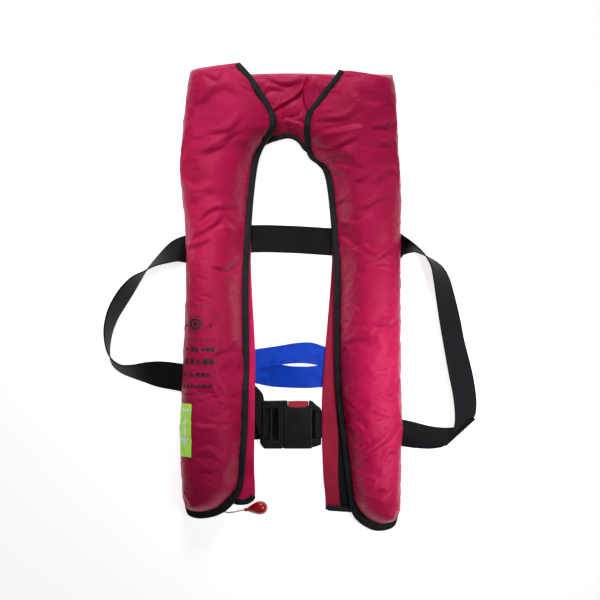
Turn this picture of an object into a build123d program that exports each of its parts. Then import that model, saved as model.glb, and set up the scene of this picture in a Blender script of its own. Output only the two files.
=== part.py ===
from build123d import *
import math
import os

# Inflatable life jacket, laid on its back and closed, in millimetres.
# +Z is up off the surface that it lies on, +Y runs towards the collar, and +X is the wearer's left.
# The origin is at the middle of the resting face.

os.makedirs("parts", exist_ok=True)

# ---- cloth and webbing ---------------------------------------------------------------------------
COVER_T = 1.8  # cover cloth with its lining
PANEL_Z = (3.4, 5.4)  # back panels, over the belt
NECK_X = 56.0  # half width of the neck section
BINDING_W = 9.5  # folded tape along each cut edge
BINDING_T = 2.6
HEM_W = 7.0  # tape along the lower edge of a back panel
BELT_W = 37.0  # webbing sold as 38 mm
BELT_T = 1.6
BELT_Z = (1.3, 2.9)  # belt under the lobes
RIBBON_W = 28.0  # lifting loop
GAP = 0.3  # running clearance between bodies

# ---- lobes: outer outline and free edge, as (x, y) from the shoulder down ----------------------------
LOBES = {
    "right": {
        "side": -1,
        "outer": [(-133, 301), (-139, 254), (-145, 195), (-146, 165), (-143, 135), (-138.5, 82), (-138, 10),
                  (-141, -63), (-144, -135), (-146, -175), (-144, -228), (-142, -275), (-139, -288)],
        "edge": [(-66, 310.9), (-50, 290), (-37, 270), (-27, 253), (-20, 240), (-20, 227), (-30, 210),
                 (-40, 194), (-45, 175), (-50, 135), (-53, 96), (-56, 50), (-57, -3), (-56.5, -69),
                 (-57, -135), (-59, -190), (-63, -241), (-68, -260), (-76, -273), (-87, -284),
                 (-102, -291.5), (-120, -294.4), (-135, -291)],
        "strip": [(-54, 62), (-51.5, -3), (-48, -69), (-48, -135), (-49, -228), (-48, -264)],
        "strip_end": [(-51, -271), (-60, -276), (-74, -276), (-84, -268), (-134, -268)],
        "hinge": ((-141.5, 60, 27.5), (-148.5, -290, 27.5)),
        "cover_end": -284.0,
        "lift": 9.6,  # the free edge rides over the buckle's thickness beside it
    },
    "left": {
        "side": 1,
        "outer": [(134, 290), (138, 261), (141, 195), (144.5, 142), (144, 89), (144, -3), (144.5, -109),
                  (146.5, -170), (145, -201), (144.5, -241), (144, -267), (142.5, -287), (140, -298)],
        "edge": [(64, 301), (54, 287), (41, 270), (30, 255), (21, 244), (18, 229), (18, 208), (24, 186),
                 (36, 177), (44, 167), (49, 142), (53, 103), (56, 62), (58, 23), (58, -69), (60, -125),
                 (66, -180), (72, -230), (77.5, -275), (83, -290), (93, -301), (107, -309), (118, -310.9),
                 (131, -307), (138, -301)],
        "strip": [(55, 62), (51, -3), (45.5, -69), (41, -135), (41, -188), (43, -241), (46, -282)],
        "strip_end": [(60, -284), (90, -286), (120, -290), (136, -288)],
        "hinge": ((147.5, 60, 27.5), (147.5, -290, 27.5)),
        "cover_end": -300.5,
        "lift": 0.0,
    },
}
CROWN_Z = 47.0  # highest line of each lobe
OUTER_Z = 27.5  # where the cover meets the side panel
EDGE_Z = 8.0  # free edge, closed on the back panel
COLLAR_Z = 25.0  # collar surface; the lobes' edges lie over it
END_REACH = 46.0  # length over which a lobe's end curves down
FLAP_TOP_Y = 60.0  # each front flap opens from here down
LIFT_Y = (-95, -128, -210, -245)  # where the right free edge starts to rise, is up, starts to fall and is down
STRIP_X = (-92.0, -76.0)  # foot and top of the right panel's slope up to its free edge

# ---- belt loops beside the lobes: (x, y, degrees turned on edge) -----------------------------------
RIGHT_LOOP = [(-139.2, 65, 14), (-153, 62, 40), (-168, 54, 62), (-184, 45, 74), (-200, 32, 74), (-215, 15, 68),
              (-227, -2, 67), (-236, -19, 69), (-242, -38, 74), (-243.5, -56, 79), (-242, -74, 80),
              (-236, -87, 76), (-225, -95, 70), (-209, -98.5, 58), (-192, -100, 38), (-172, -103, 14),
              (-145.2, -107.5, 2)]
LEFT_LOOP = [(144.2, 69, 40), (157, 68, 62), (168, 62, 82), (178, 53, 84), (188, 43, 76), (196, 28, 62),
             (202, 10, 52), (208, -14, 42), (213, -40, 36), (219, -64, 31), (225, -90, 26), (230, -118, 22),
             (231, -142, 24), (227, -160, 34), (215, -173, 44), (199, -181, 40), (176, -183, 22),
             (146.8, -180, 4)]

# ---- buckle ----------------------------------------------------------------------------------------
BUCKLE_Y = (-201.5, -137.5)
BUCKLE_Z = (0.6, 12.6)
FEMALE_X = (-10.3, 40.5)
MALE_X = (-42.0, -10.6)
PRONG_TIP_X = 19.0
BUTTON_X = (-4.0, 23.0)
BUTTON_Y = (-147.0, -138.2)
BUTTON_TRAVEL = 3.5
MALE_TRAVEL = 31.0

# ---- inflator in the right lobe ----------------------------------------------------------------------
INFLATOR_X = -108.0
INFLATOR_Y = (-252.0, -206.0)
INFLATOR_Z = (16.0, 36.0)
CYLINDER_R = 14.5
CYLINDER_Y = (-204.0, -66.0)
CYLINDER_Z = 25.0
LEVER_PIVOT = (-100.0, -258.0)
LEVER_L = 20.0
LEVER_Z = (11.5, 15.0)
PIN_TRAVEL = 4.0

# ---- pull handle and its lanyard ---------------------------------------------------------------------
HANDLE_TIP = (-62.0, -284.0, 3.5)
HANDLE_AXIS = (0.951, 0.165, 0.261)
HANDLE_L = 32.0
HANDLE_R = 9.0
LANYARD_D = 2.2
LANYARD = [(-120, -259.8, 9.9), (-114.2, -266, 9.3), (-107.6, -272.2, 7.3), (-101, -278.4, 4.2),
           (-94.3, -284.2, 1.9), (-86.5, -288, 1.5), (-77.5, -287.6, 1.4), (-69.2, -285.3, 1.53),
           (-62.25, -284.05, 3.43)]

# ---- oral tube and whistle in the left lobe ----------------------------------------------------------
TUBE_X = 104.0
TUBE_Y = (-118.0, -16.0)
TUBE_Z = 34.0
TUBE_R = 6.5
VALVE_L = 18.0
CAP_L = 20.0

nodes = {}


def prism(points, z0, z1):
    """A flat plate with the given outline."""
    face = make_face(Polyline(*[(x, y) for x, y in points], close=True))
    return Pos(0, 0, z0) * extrude(face, z1 - z0)


def block(x, y, z):
    """A box from three (low, high) pairs."""
    size = Box(x[1] - x[0], y[1] - y[0], z[1] - z[0])
    return Pos((x[0] + x[1]) / 2, (y[0] + y[1]) / 2, (z[0] + z[1]) / 2) * size


def rounded_block(x, y, z, r):
    """A box with its upright edges rounded."""
    body = block(x, y, z)
    return fillet(body.edges().filter_by(Axis.Z), r)


def rod_y(x, z, r, y0, y1):
    """A round bar along Y."""
    return Pos(x, (y0 + y1) / 2, z) * Rot(90, 0, 0) * Cylinder(r, y1 - y0)


def skin(sections):
    """A closed solid ruled through sections that have the same number of corners."""
    wires = [Wire.make_polygon([Vector(*p) for p in s], close=True) for s in sections]
    return Solid.make_loft(wires, ruled=True)


def at(path, y):
    """x of a path, which runs down in y, at one y."""
    for (x1, y1), (x2, y2) in zip(path, path[1:]):
        if y1 >= y >= y2:
            return x1 + (x2 - x1) * (y1 - y) / max(y1 - y2, 1e-6)
    return path[0][0] if y > path[0][1] else path[-1][0]


def smooth(t):
    """A smooth step from 0 to 1."""
    t = min(max(t, 0.0), 1.0)
    return t * t * (3 - 2 * t)


def inset(path, side, distance):
    """The path moved sideways into the lobe by a distance."""
    moved = []
    for i, (x, y) in enumerate(path):
        xa, ya = path[max(i - 1, 0)]
        xb, yb = path[min(i + 1, len(path) - 1)]
        length = math.hypot(xb - xa, yb - ya)
        # the lobe lies on the right hand of a path that runs down the right lobe's free edge
        nx, ny = side * -(yb - ya) / length, side * (xb - xa) / length
        moved.append((x + nx * distance, y + ny * distance))
    return moved


def over_collar(y):
    """1 where a lobe's free edge lies over the collar, 0 where it is closed on the back panel."""
    return smooth((y - 190) / 38)


def end_fall(lobe, y):
    """1 along the lobe, falling to 0 at its two ends on a quarter ellipse."""
    low = (y - lobe["cover_end"] + 4) / END_REACH
    high = (306 - y) / 34
    t = min(max(min(low, high), 0.0), 1.0)
    return math.sqrt(1 - (1 - t) ** 2)


def lift(lobe, y):
    """How far a lobe's free edge is raised beside the buckle."""
    rise = (LIFT_Y[0] - y) / (LIFT_Y[0] - LIFT_Y[1])
    fall = (y - LIFT_Y[3]) / (LIFT_Y[2] - LIFT_Y[3])
    return lobe["lift"] * min(max(min(rise, fall), 0.0), 1.0)


def edge_height(lobe, y):
    return EDGE_Z + (COLLAR_Z + 5 - EDGE_Z) * over_collar(y) + lift(lobe, y)


def with_lift(path):
    """The path with points added where the lift begins and ends."""
    added = [(at(path, y), y) for y in LIFT_Y if path[0][1] > y > path[-1][1]]
    turn = min(range(len(path)), key=lambda i: path[i][1])
    down = sorted(set(path[:turn + 1] + added), key=lambda p: -p[1])
    return down + path[turn + 1:]


def arch(lobe, y, drop, steps=9, crown=None):
    """The lobe's cross-section at y as (x, z), from the outer edge over the crown to the free edge."""
    side = lobe["side"]
    fall = end_fall(lobe, y)
    fabric_edge = inset(lobe["edge"], side, BINDING_W + 0.2)
    lower = [p for i, p in enumerate(fabric_edge) if i == 0 or p[1] < fabric_edge[i - 1][1]]
    x_out = at(lobe["outer"], y) - side * drop
    x_in = at(lower, y) + side * drop
    z_out = 9 + (OUTER_Z - 9) * fall
    z_in = edge_height(lobe, y) * (0.75 + 0.25 * fall) + BINDING_T
    top = max(z_in, z_out) + 1 + ((crown or CROWN_Z) - max(z_in, z_out) - 1) * fall - drop
    peak = 0.42
    points = []
    for i in range(steps):
        u = i / (steps - 1)
        if u <= peak:
            base, t = z_out, 1 - u / peak
        else:
            base, t = z_in, (u - peak) / (1 - peak)
        z = base + max(top - base, 0.5) * (1 - t ** 2.3) ** (1 / 2.3)
        points.append((x_out + (x_in - x_out) * u, z))
    return points


def shell(lobe, stations):
    """The cover over a lobe: a skin of COVER_T between two arches."""
    sections = []
    for y in stations:
        outside = arch(lobe, y, 0)
        inside = arch(lobe, y, COVER_T)
        sections.append([(x, y, z) for x, z in outside] + [(x, y, z) for x, z in reversed(inside)])
    return skin(sections)


def binding(path, lobe, thick=BINDING_T):
    """A folded tape along a free edge: a flat bar ruled along the path."""
    path = with_lift(path)
    inner = inset(path, lobe["side"], BINDING_W)
    sections = []
    for (x, y), (u, v) in zip(path, inner):
        z = edge_height(lobe, y) * (0.75 + 0.25 * end_fall(lobe, max(y, lobe["cover_end"])))
        sections.append([(x, y, z), (x, y, z + thick), (u, v, z + thick), (u, v, z)])
    return skin(sections)


def strap(route, width=BELT_W, thick=BELT_T):
    """Webbing along a route of (x, y, degrees on edge), which always stands on the surface."""
    sections = []
    for i, (x, y, turned) in enumerate(route):
        xa, ya, _ = route[max(i - 1, 0)]
        xb, yb, _ = route[min(i + 1, len(route) - 1)]
        length = math.hypot(xb - xa, yb - ya)
        nx, ny = -(yb - ya) / length, (xb - xa) / length
        if i in (0, len(route) - 1):
            nx, ny = 0.0, math.copysign(1.0, ny)
        a = math.radians(turned)
        across = Vector(nx * math.cos(a), ny * math.cos(a), math.sin(a))
        up = Vector(-nx * math.sin(a), -ny * math.sin(a), math.cos(a))
        rise = width / 2 * abs(math.sin(a)) + thick / 2 * math.cos(a)
        ends = smooth(i / 2) * smooth((len(route) - 1 - i) / 2)
        middle = Vector(x, y, rise + (1 - ends) * BELT_Z[0])
        half, t = across * (width / 2), up * (thick / 2)
        sections.append([tuple(middle + half + t), tuple(middle - half + t),
                         tuple(middle - half - t), tuple(middle + half - t)])
    return skin(sections)


def ring_spring(x, y0, y1, z, r, wire, coils):
    """A compression spring along Y."""
    pitch = (y1 - y0 - wire) / coils
    path = Helix(pitch, y1 - y0 - wire, r)
    start = path @ 0
    section = Plane(origin=start, z_dir=path % 0) * Circle(wire / 2)
    return Pos(x, y1 - wire / 2, z) * Rot(90, 0, 0) * sweep(section, path=path, is_frenet=True)


# ---- cover -------------------------------------------------------------------------------------------
def cover_parts(name, lobe):
    side = lobe["side"]
    split = FLAP_TOP_Y
    end = lobe["cover_end"]
    shoulder = [302, 298, 290, 280, 265, 250, 238, 226, 212, 198, 182, 165, 140, 110, 85, split + 2]
    nodes[f"{name}_shoulder_cover"] = shell(lobe, shoulder)
    low = {split, 10, -40, -160, end + 62, end + 34, end + 22, end + 12, end + 5, end}
    nodes[f"{name}_front_flap"] = shell(lobe, sorted(low.union(LIFT_Y), reverse=True))

    upper_edge = [p for p in lobe["edge"] if p[1] > split + 2]
    lower_edge = [p for p in lobe["edge"] if p[1] < split]
    nodes[f"{name}_shoulder_binding"] = binding(upper_edge + [(at(lobe["edge"], split + 2), split + 2)], lobe)
    nodes[f"{name}_flap_binding"] = binding([(at(lobe["edge"], split), split)] + lower_edge, lobe)

    wall = []
    for y in (298, 260, 195, 135, 82, 10, -63, -135, -175, -228, end + 24):
        x = at(lobe["outer"], y)
        top = 6.5 + (OUTER_Z - 1.5 - 6.5) * end_fall(lobe, y)
        wall.append([(x, y, PANEL_Z[1]), (x - side * 1.6, y, PANEL_Z[1]),
                     (x - side * 1.6, y, top), (x, y, top)])
    nodes[f"{name}_side_panel"] = skin(wall)


def back_parts(name, lobe):
    side = lobe["side"]
    neck_x = NECK_X * side
    outer = [p for p in lobe["outer"] if p[1] > -270]
    top, end = lobe["strip"][0], lobe["strip_end"]
    if lobe["lift"]:
        foot = STRIP_X[0] - 0.2
        lower = [end[-1], (foot, end[-1][1]), (foot, top[1]), top]
        panel_strip(name, lobe)
    else:
        lower = end[::-1] + lobe["strip"][::-1]
    nodes[f"{name}_back_panel"] = prism([(neck_x, 297)] + outer + lower + [(neck_x, 96), (neck_x, 200)], *PANEL_Z)
    hem = [lobe["strip"][-1]] + lobe["strip_end"]
    bars = []
    for (x, y), (u, v) in zip(hem, inset(hem, side, HEM_W)):
        bars.append([(x, y, PANEL_Z[1]), (x, y, PANEL_Z[1] + 1), (u, v, PANEL_Z[1] + 1), (u, v, PANEL_Z[1])])
    nodes[f"{name}_back_hem"] = skin(bars)


def panel_strip(name, lobe):
    """The inner strip of a back panel, which slopes up to the raised part of the free edge."""
    foot, top = STRIP_X
    low, high = PANEL_Z
    sections = []
    for x, y in with_lift(lobe["strip"]):
        up = lift(lobe, y)
        sections.append([(foot, y, low), (top, y, low + up), (x, y, low + up),
                         (x, y, high + up), (top, y, high + up), (foot, y, high)])
    for x0, x1, y in ((foot, -49.5, -268), (-81, -51, -271), (-74, -60, -276)):
        mid = (x0 + x1) / 2
        sections.append([(x0, y, low), (mid, y, low), (x1, y, low), (x1, y, high), (mid, y, high), (x0, y, high)])
    nodes[f"{name}_panel_strip"] = skin(sections)


def tape_parts(name, lobe):
    side = lobe["side"]
    on_panel, on_flap = [], []
    for y in sorted({50, -3, -69, -165, -228}.union(LIFT_Y[:3]), reverse=True):
        x = at(lobe["edge"], y)
        inner, outer = x, x + side * 9
        panel, flap = PANEL_Z[1] + lift(lobe, y), EDGE_Z - 0.2 + lift(lobe, y)
        on_panel.append([(inner, y, panel), (outer, y, panel), (outer, y, panel + 1), (inner, y, panel + 1)])
        on_flap.append([(inner + side, y, flap - 1.1), (outer, y, flap - 1.1), (outer, y, flap), (inner + side, y, flap)])
    nodes[f"{name}_loop_tape"] = skin(on_panel)
    nodes[f"{name}_hook_tape"] = skin(on_flap)


def collar_parts():
    """The neck section that joins the two lobes behind the wearer's head."""
    front = [(-56, 197), (-40, 200), (-26, 207), (-8, 212), (1, 211), (10, 206), (20, 194), (56, 192)]
    outline = [(-56, 297)] + front + [(56, 297)]
    nodes["neck_back_panel"] = prism(outline, *PANEL_Z)
    sections = []
    for y, z in ((219.5, 16), (221, 20), (226, 23.5), (240, 25), (270, 25), (288, 23), (296, 18), (299, 12)):
        low = max(z - COVER_T, 6)
        sections.append([(-56, y, z), (56, y, z), (56, y, low), (-56, y, low)])
    nodes["neck_cover"] = skin(sections)
    trim = [(-35, 203), (-26, 207), (-8, 212), (1, 211), (10, 206), (19, 195)]
    band = []
    for i, (x, y) in enumerate(trim):
        band.append([(x, y, 6.0), (x, y, 14.0), (x, y + 6, 14.0), (x, y + 6, 6.0)])
    nodes["neck_binding"] = skin(band)
    fold = block((-55, 55), (230, 284), (6.0, 19.0))
    nodes["neck_bladder_fold"] = fillet(fold.edges().filter_by(Axis.X), 6)


# ---- folded bladder ------------------------------------------------------------------------------------
def bladder(lobe, stations):
    """The folded bladder in a lobe: flat below, arched above, as high as each (y, crown)."""
    side = lobe["side"]
    sections = []
    for y, crown in stations:
        points = arch(lobe, y, COVER_T + 5, steps=7, crown=crown)
        low = PANEL_Z[1] + 1.3
        inner = NECK_X + 1 if y > 190 else 0
        if crown < PANEL_Z[1] + 6 and lobe["lift"]:
            inner = 1 - STRIP_X[0]
        top = [(side * max(side * x, inner), y, max(min(z, crown), low + 2)) for x, z in points]
        sections.append([(top[0][0], y, low)] + top + [(top[-1][0], y, low)])
    return skin(sections)


def bladder_parts():
    full, under_inflator, under_tube = 43, 9.7, 26
    right = [(y, full) for y in (270, 250, 225, 195, 150, 80, 0, -50)]
    right += [(y, under_inflator) for y in (-60, -150, -240, -258)]
    left = [(y, full) for y in (270, 250, 225, 195, 150, 80, 44)]
    left += [(y, under_tube) for y in (34, -50, -139)]
    left += [(-150, 42), (-200, 42), (-240, 40), (-262, 32)]
    nodes["bladder_right_fold"] = bladder(LOBES["right"], right)
    nodes["bladder_left_fold"] = bladder(LOBES["left"], left)


# ---- inflator --------------------------------------------------------------------------------------------
def inflator_parts():
    x0, x1 = INFLATOR_X - 17, INFLATOR_X + 17
    body = rounded_block((x0, x1), INFLATOR_Y, INFLATOR_Z, 5)
    pin_z = CYLINDER_Z
    body -= rod_y(INFLATOR_X, pin_z, 3.2, INFLATOR_Y[0] + 12, INFLATOR_Y[1] + 1)
    body -= rod_y(INFLATOR_X, pin_z, 6.6, INFLATOR_Y[1] - 12, INFLATOR_Y[1] + 1)
    px, py = LEVER_PIVOT
    body += block((px - 6, px + 6), (py - 6, INFLATOR_Y[0] + 1), (LEVER_Z[1] + 0.4, 24))
    body -= Pos(px, py, 18) * Cylinder(2.0, 12)
    nodes["inflator_body"] = body

    stem_y = INFLATOR_Y[0] + 14
    stem = Pos(INFLATOR_X, stem_y, 10.7) * Cylinder(6, 1.6)
    stem += Pos(INFLATOR_X, stem_y, 13.7) * Cylinder(4, 4.6)
    nodes["manifold_stem"] = stem
    nut_z = INFLATOR_Z[1] + 1.8
    nodes["manifold_nut"] = Pos(INFLATOR_X, stem_y, nut_z) * extrude(RegularPolygon(7, 6), 1.8, both=True)

    arm = block((px - LEVER_L, px), (py - 3, py + 3), LEVER_Z)
    arm += Pos(px, py, sum(LEVER_Z) / 2) * Cylinder(5, LEVER_Z[1] - LEVER_Z[0])
    arm += Pos(px - LEVER_L, py, sum(LEVER_Z) / 2) * Cylinder(3.6, LEVER_Z[1] - LEVER_Z[0])
    arm -= Pos(px, py, 13) * Cylinder(2.05, 8)
    nodes["inflator_lever"] = arm
    pivot = Pos(px, py, 16.6) * Cylinder(1.98, 11.6)
    pivot += Pos(px, py, 10.6) * Cylinder(3.6, 1.0)
    nodes["lever_pin"] = pivot

    seat = INFLATOR_Y[1] - 12
    nodes["piercing_pin"] = rod_y(INFLATOR_X, pin_z, 1.2, seat - 22, seat + 2) + rod_y(
        INFLATOR_X, pin_z, 2.9, seat - 14, seat - 12)
    nodes["piercing_spring"] = ring_spring(INFLATOR_X, seat - 11.6, seat - 2, pin_z, 2.1, 0.6, 4)
    nodes["cylinder_gasket"] = rod_y(INFLATOR_X, pin_z, 6.4, seat, seat + 1.6) - rod_y(
        INFLATOR_X, pin_z, 3.4, seat - 1, seat + 3)

    c0, c1 = CYLINDER_Y
    neck_end = seat + 2.0
    tank = rod_y(INFLATOR_X, CYLINDER_Z, CYLINDER_R, c0 + 22, c1)
    tank = fillet(tank.edges().sort_by(Axis.Y)[-1], 10)
    shoulder = Pos(INFLATOR_X, c0 + 14, CYLINDER_Z) * Rot(-90, 0, 0) * Cone(6.0, CYLINDER_R, 16)
    neck = rod_y(INFLATOR_X, CYLINDER_Z, 6.3, neck_end, c0 + 7)
    bottle = tank + shoulder + neck
    bottle -= rod_y(INFLATOR_X, CYLINDER_Z, CYLINDER_R - 2, c0 + 23, c1 - 12)
    bottle -= rod_y(INFLATOR_X, CYLINDER_Z, 2.6, neck_end - 1, c0 + 24)
    nodes["co2_cylinder"] = bottle


def handle_parts():
    tip = Vector(*HANDLE_TIP)
    axis = Vector(*HANDLE_AXIS)
    profile = Spline((2.0, 0), (4.4, 8), (HANDLE_R, 21), (6.5, 30))
    outline = profile + Line((6.5, 30), (0, HANDLE_L)) + Line((0, HANDLE_L), (0, 0)) + Line((0, 0), (2.0, 0))
    turned = revolve(make_face(outline), Axis.Y)
    # the profile's Y becomes the handle's own axis
    across = Vector(0, 0, 1).cross(axis)
    frame = Plane(origin=tip, x_dir=axis.cross(across), z_dir=across)
    nodes["pull_handle"] = frame * turned

    corners = [Vector(*p) for p in LANYARD]
    radii = []
    for a, b, c in zip(corners, corners[1:], corners[2:]):
        turn = math.radians((b - a).get_angle(c - b))
        radii.append(0.45 * min((b - a).length, (c - b).length) / math.tan(turn / 2))
    path = FilletPolyline(*corners, radius=radii)
    print("lanyard radii, mm:", [round(r, 1) for r in radii])
    cord = sweep(Plane(origin=path @ 0, z_dir=path % 0) * Circle(LANYARD_D / 2), path=path)
    print("lanyard volume / (section x length):", cord.volume / (math.pi * (LANYARD_D / 2) ** 2 * path.length))
    print("lanyard length, mm:", round(path.length, 1))
    nodes["pull_lanyard"] = cord


# ---- oral tube, whistle ------------------------------------------------------------------------------------
def oral_parts():
    y0, y1 = TUBE_Y
    nodes["oral_tube_flange"] = Pos(TUBE_X, y0 - 5, 26.7) * Cylinder(15, 1.2)
    bend = block((TUBE_X - 7, TUBE_X + 7), (y0 - 12, y0 - 0.1), (27.4, TUBE_Z + 6.5))
    nodes["oral_tube_elbow"] = fillet(bend.edges().filter_by(Axis.X), 3)
    tube = rod_y(TUBE_X, TUBE_Z, TUBE_R, y0, y1) - rod_y(TUBE_X, TUBE_Z, 4.6, y0 - 1, y1 + 1)
    nodes["oral_tube"] = tube
    v1 = y1 + VALVE_L
    valve = rod_y(TUBE_X, TUBE_Z, 7.0, y1 + 0.1, v1) - rod_y(TUBE_X, TUBE_Z, 4.6, y1 - 1, v1 - 8)
    valve -= rod_y(TUBE_X, TUBE_Z, 2.3, v1 - 9, v1 - 4)
    valve -= rod_y(TUBE_X, TUBE_Z, 5.2, v1 - 4.2, v1 + 1)
    nodes["oral_valve_body"] = valve
    poppet = rod_y(TUBE_X, TUBE_Z, 4.9, v1 - 1.2, v1 + 1.0) + rod_y(TUBE_X, TUBE_Z, 1.2, v1 - 12, v1 - 1)
    nodes["oral_valve_poppet"] = poppet
    nodes["oral_valve_spring"] = ring_spring(TUBE_X, v1 - 4.1, v1 - 1.3, TUBE_Z, 3.2, 0.5, 2)
    cap = rod_y(TUBE_X, TUBE_Z, 8.6, v1 - 11, v1 + 5) - rod_y(TUBE_X, TUBE_Z, 7.3, v1 - 12, v1 + 3.4)
    nodes["oral_cap"] = cap

    wx, wy, wz = 124.0, -58.0, 28.2
    whistle = block((wx - 8, wx + 8), (wy - 22, wy + 10), (wz, wz + 8))
    whistle = fillet(whistle.edges().filter_by(Axis.Y), 2)
    whistle += Pos(wx, wy + 10, wz + 4) * Cylinder(8, 8)
    whistle -= block((wx - 9, wx + 2), (wy - 8, wy - 5), (wz + 4, wz + 9))
    nodes["whistle"] = whistle
    cord_y = wy + 18.2
    nodes["whistle_cord"] = rod_y(wx - 2, wz + 4, 0.9, cord_y, cord_y + 26)


# ---- webbing -----------------------------------------------------------------------------------------------
def belt_parts():
    z0, z1 = BELT_Z
    back = [(-139, 83.5), (-54, 97), (0, 96), (54, 93), (144, 87.5), (144, 50.5), (54, 56), (0, 59.5), (-54, 60),
            (-139, 46.5)]
    nodes["back_belt"] = prism(back, z0, z1)
    nodes["right_belt_loop"] = strap(RIGHT_LOOP)
    nodes["left_belt_loop"] = strap(LEFT_LOOP)
    nodes["right_front_belt"] = prism([(-145, -89), (-92.3, -104), (-92.3, -142.5), (-145, -126)], z0, z1)
    nodes["adjuster_strap"] = prism([(-61, -111.5), (-46, -116), (-42.2, -124), (-42.2, -154), (-61, -149)], z0, z1)
    nodes["belt_tail"] = prism([(-110, -155), (-42.2, -155), (-42.2, -191), (-110, -191)], z0, z1)
    nodes["left_front_belt"] = prism([(146.6, -162), (40.8, -151), (40.8, -188), (146.6, -199)], z0, z1)

    def keeper(x, y0, y1):
        loop = block((x - 9, x + 9), (y0, y1), (0, PANEL_Z[0]))
        return loop - block((x - 10, x + 10), (y0 + 1.6, y1 - 1.6), (1.0, PANEL_Z[0] + 1))

    places = ((-100, 38, 104), (100, 42, 104), (-127, -203, -80), (118, -212, -144))
    nodes["belt_keepers"] = Compound([keeper(*p).solid() for p in places])


def lifting_loop():
    """A ribbon sewn at the right strip, folded round beside the left strip and brought back under."""
    x0, x1 = -47.5, 41.0
    upper = prism([(x0, -69.5), (-20, -65), (8, -60.5), (28, -60.5), (x1, -66), (x1, -91), (22, -88.2), (4, -88),
                   (x0, -97.5)], 3.6, 5.0)
    lower = prism([(x0, -88), (-14, -92), (2, -94), (26, -94), (x1, -92.5), (x1, -120), (12, -121.5), (-25, -119.5),
                   (x0, -115)], 1.6, 3.0)
    fold = block((x1 - 1.4, x1), (-116, -70), (1.6, 5.0))
    anchor = block((x0 - 12, x0), (-108, -72), (1.6, 3.0))
    nodes["lifting_loop"] = upper + fold + lower
    nodes["loop_anchor"] = anchor


# ---- buckle ------------------------------------------------------------------------------------------------
def buckle_parts():
    y0, y1 = BUCKLE_Y
    z0, z1 = BUCKLE_Z
    mouth_y = (y0 + 9, -152.5)
    mouth_z = (3.6, 9.8)
    female = rounded_block(FEMALE_X, (y0, y1), (z0, z1), 4)
    female -= block((FEMALE_X[0] - 1, PRONG_TIP_X + 1), mouth_y, mouth_z)
    female -= block((BUTTON_X[0] - GAP, BUTTON_X[1] + GAP), (-151.5, y1 + 1), mouth_z)
    female -= block((28.5, 39.5), (y0 + 11, y1 - 11), (z0 - 1, z1 + 1))
    nodes["buckle_female"] = female

    male = rounded_block(MALE_X, (y0, y1), (z0, z1), 4)
    male -= block((-38, -33), (y0 + 11, y1 - 11), (z0 - 1, z1 + 1))
    male -= block((-29, -19), (y0 + 11, y1 - 11), (z0 - 1, z1 + 1))
    low, high = mouth_y[0] + 0.5, mouth_y[1] - 0.5
    for prong in ((low, low + 9), (high - 9, high)):
        male += block((MALE_X[1] - 1, PRONG_TIP_X), prong, (mouth_z[0] + 0.5, mouth_z[1] - 0.5))
    nodes["buckle_male"] = male

    bx, by = BUTTON_X, BUTTON_Y
    nodes["release_button"] = block(bx, by, (mouth_z[0] + 0.4, mouth_z[1] - 0.4))
    nodes["button_spring"] = ring_spring(sum(bx) / 2, -151.4, by[0] - 0.05, sum(mouth_z) / 2, 2.2, 0.6, 3)


# ---- label -------------------------------------------------------------------------------------------------
def label_parts():
    """A fabric tab sewn to the right flap's outer edge."""
    lobe = LOBES["right"]
    sections = []
    for y in (-140, -160, -180, -208):
        x = at(lobe["outer"], y)
        sections.append([(x - 0.9, y, 29.0), (x + 0.9, y, 36.5), (x + 0.2, y, 37.2), (x - 1.7, y, 29.4)])
    nodes["pull_label"] = skin(sections)


def build():
    for name, lobe in LOBES.items():
        cover_parts(name, lobe)
        back_parts(name, lobe)
        tape_parts(name, lobe)
    collar_parts()
    bladder_parts()
    inflator_parts()
    handle_parts()
    oral_parts()
    belt_parts()
    lifting_loop()
    buckle_parts()
    label_parts()
    for name, shape in nodes.items():
        export_step(shape, f"parts/{name}.step")
    standing = [s.bounding_box() for n, s in nodes.items() if n not in ("pull_handle", "pull_lanyard")]
    low = [min(b.min.X for b in standing), min(b.min.Y for b in standing), min(b.min.Z for b in standing)]
    high = [max(b.max.X for b in standing), max(b.max.Y for b in standing), max(b.max.Z for b in standing)]
    print(len(nodes), "nodes; box without the handle, mm:", [round(v, 2) for v in low + high])


build()
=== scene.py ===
"""Looks of the inflatable life jacket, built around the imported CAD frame. Sizes are in millimetres until a
mesh is made, and +X is the wearer's left, +Y the collar, +Z up off the surface that the jacket lies on."""

import math
import random

import bmesh
import bpy
import numpy as np
from mathutils import Matrix, Vector
from mathutils.bvhtree import BVHTree


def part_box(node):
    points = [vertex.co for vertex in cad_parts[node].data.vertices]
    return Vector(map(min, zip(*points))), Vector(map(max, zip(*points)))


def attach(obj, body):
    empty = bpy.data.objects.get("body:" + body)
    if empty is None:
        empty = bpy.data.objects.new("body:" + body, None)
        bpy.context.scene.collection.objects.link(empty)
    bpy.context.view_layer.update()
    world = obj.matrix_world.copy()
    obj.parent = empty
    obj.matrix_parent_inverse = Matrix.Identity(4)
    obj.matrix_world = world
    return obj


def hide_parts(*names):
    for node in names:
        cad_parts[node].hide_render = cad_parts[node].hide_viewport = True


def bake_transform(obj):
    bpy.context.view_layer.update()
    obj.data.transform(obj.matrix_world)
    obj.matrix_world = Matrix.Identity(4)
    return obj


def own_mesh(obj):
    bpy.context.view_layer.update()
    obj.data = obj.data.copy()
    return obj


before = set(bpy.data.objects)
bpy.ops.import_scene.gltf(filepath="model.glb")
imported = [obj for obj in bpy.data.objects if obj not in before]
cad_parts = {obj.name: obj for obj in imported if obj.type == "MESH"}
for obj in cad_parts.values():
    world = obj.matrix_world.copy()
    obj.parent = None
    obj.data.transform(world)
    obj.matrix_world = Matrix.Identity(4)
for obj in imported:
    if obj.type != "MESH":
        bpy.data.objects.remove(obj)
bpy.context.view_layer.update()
MM = 0.001

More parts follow.
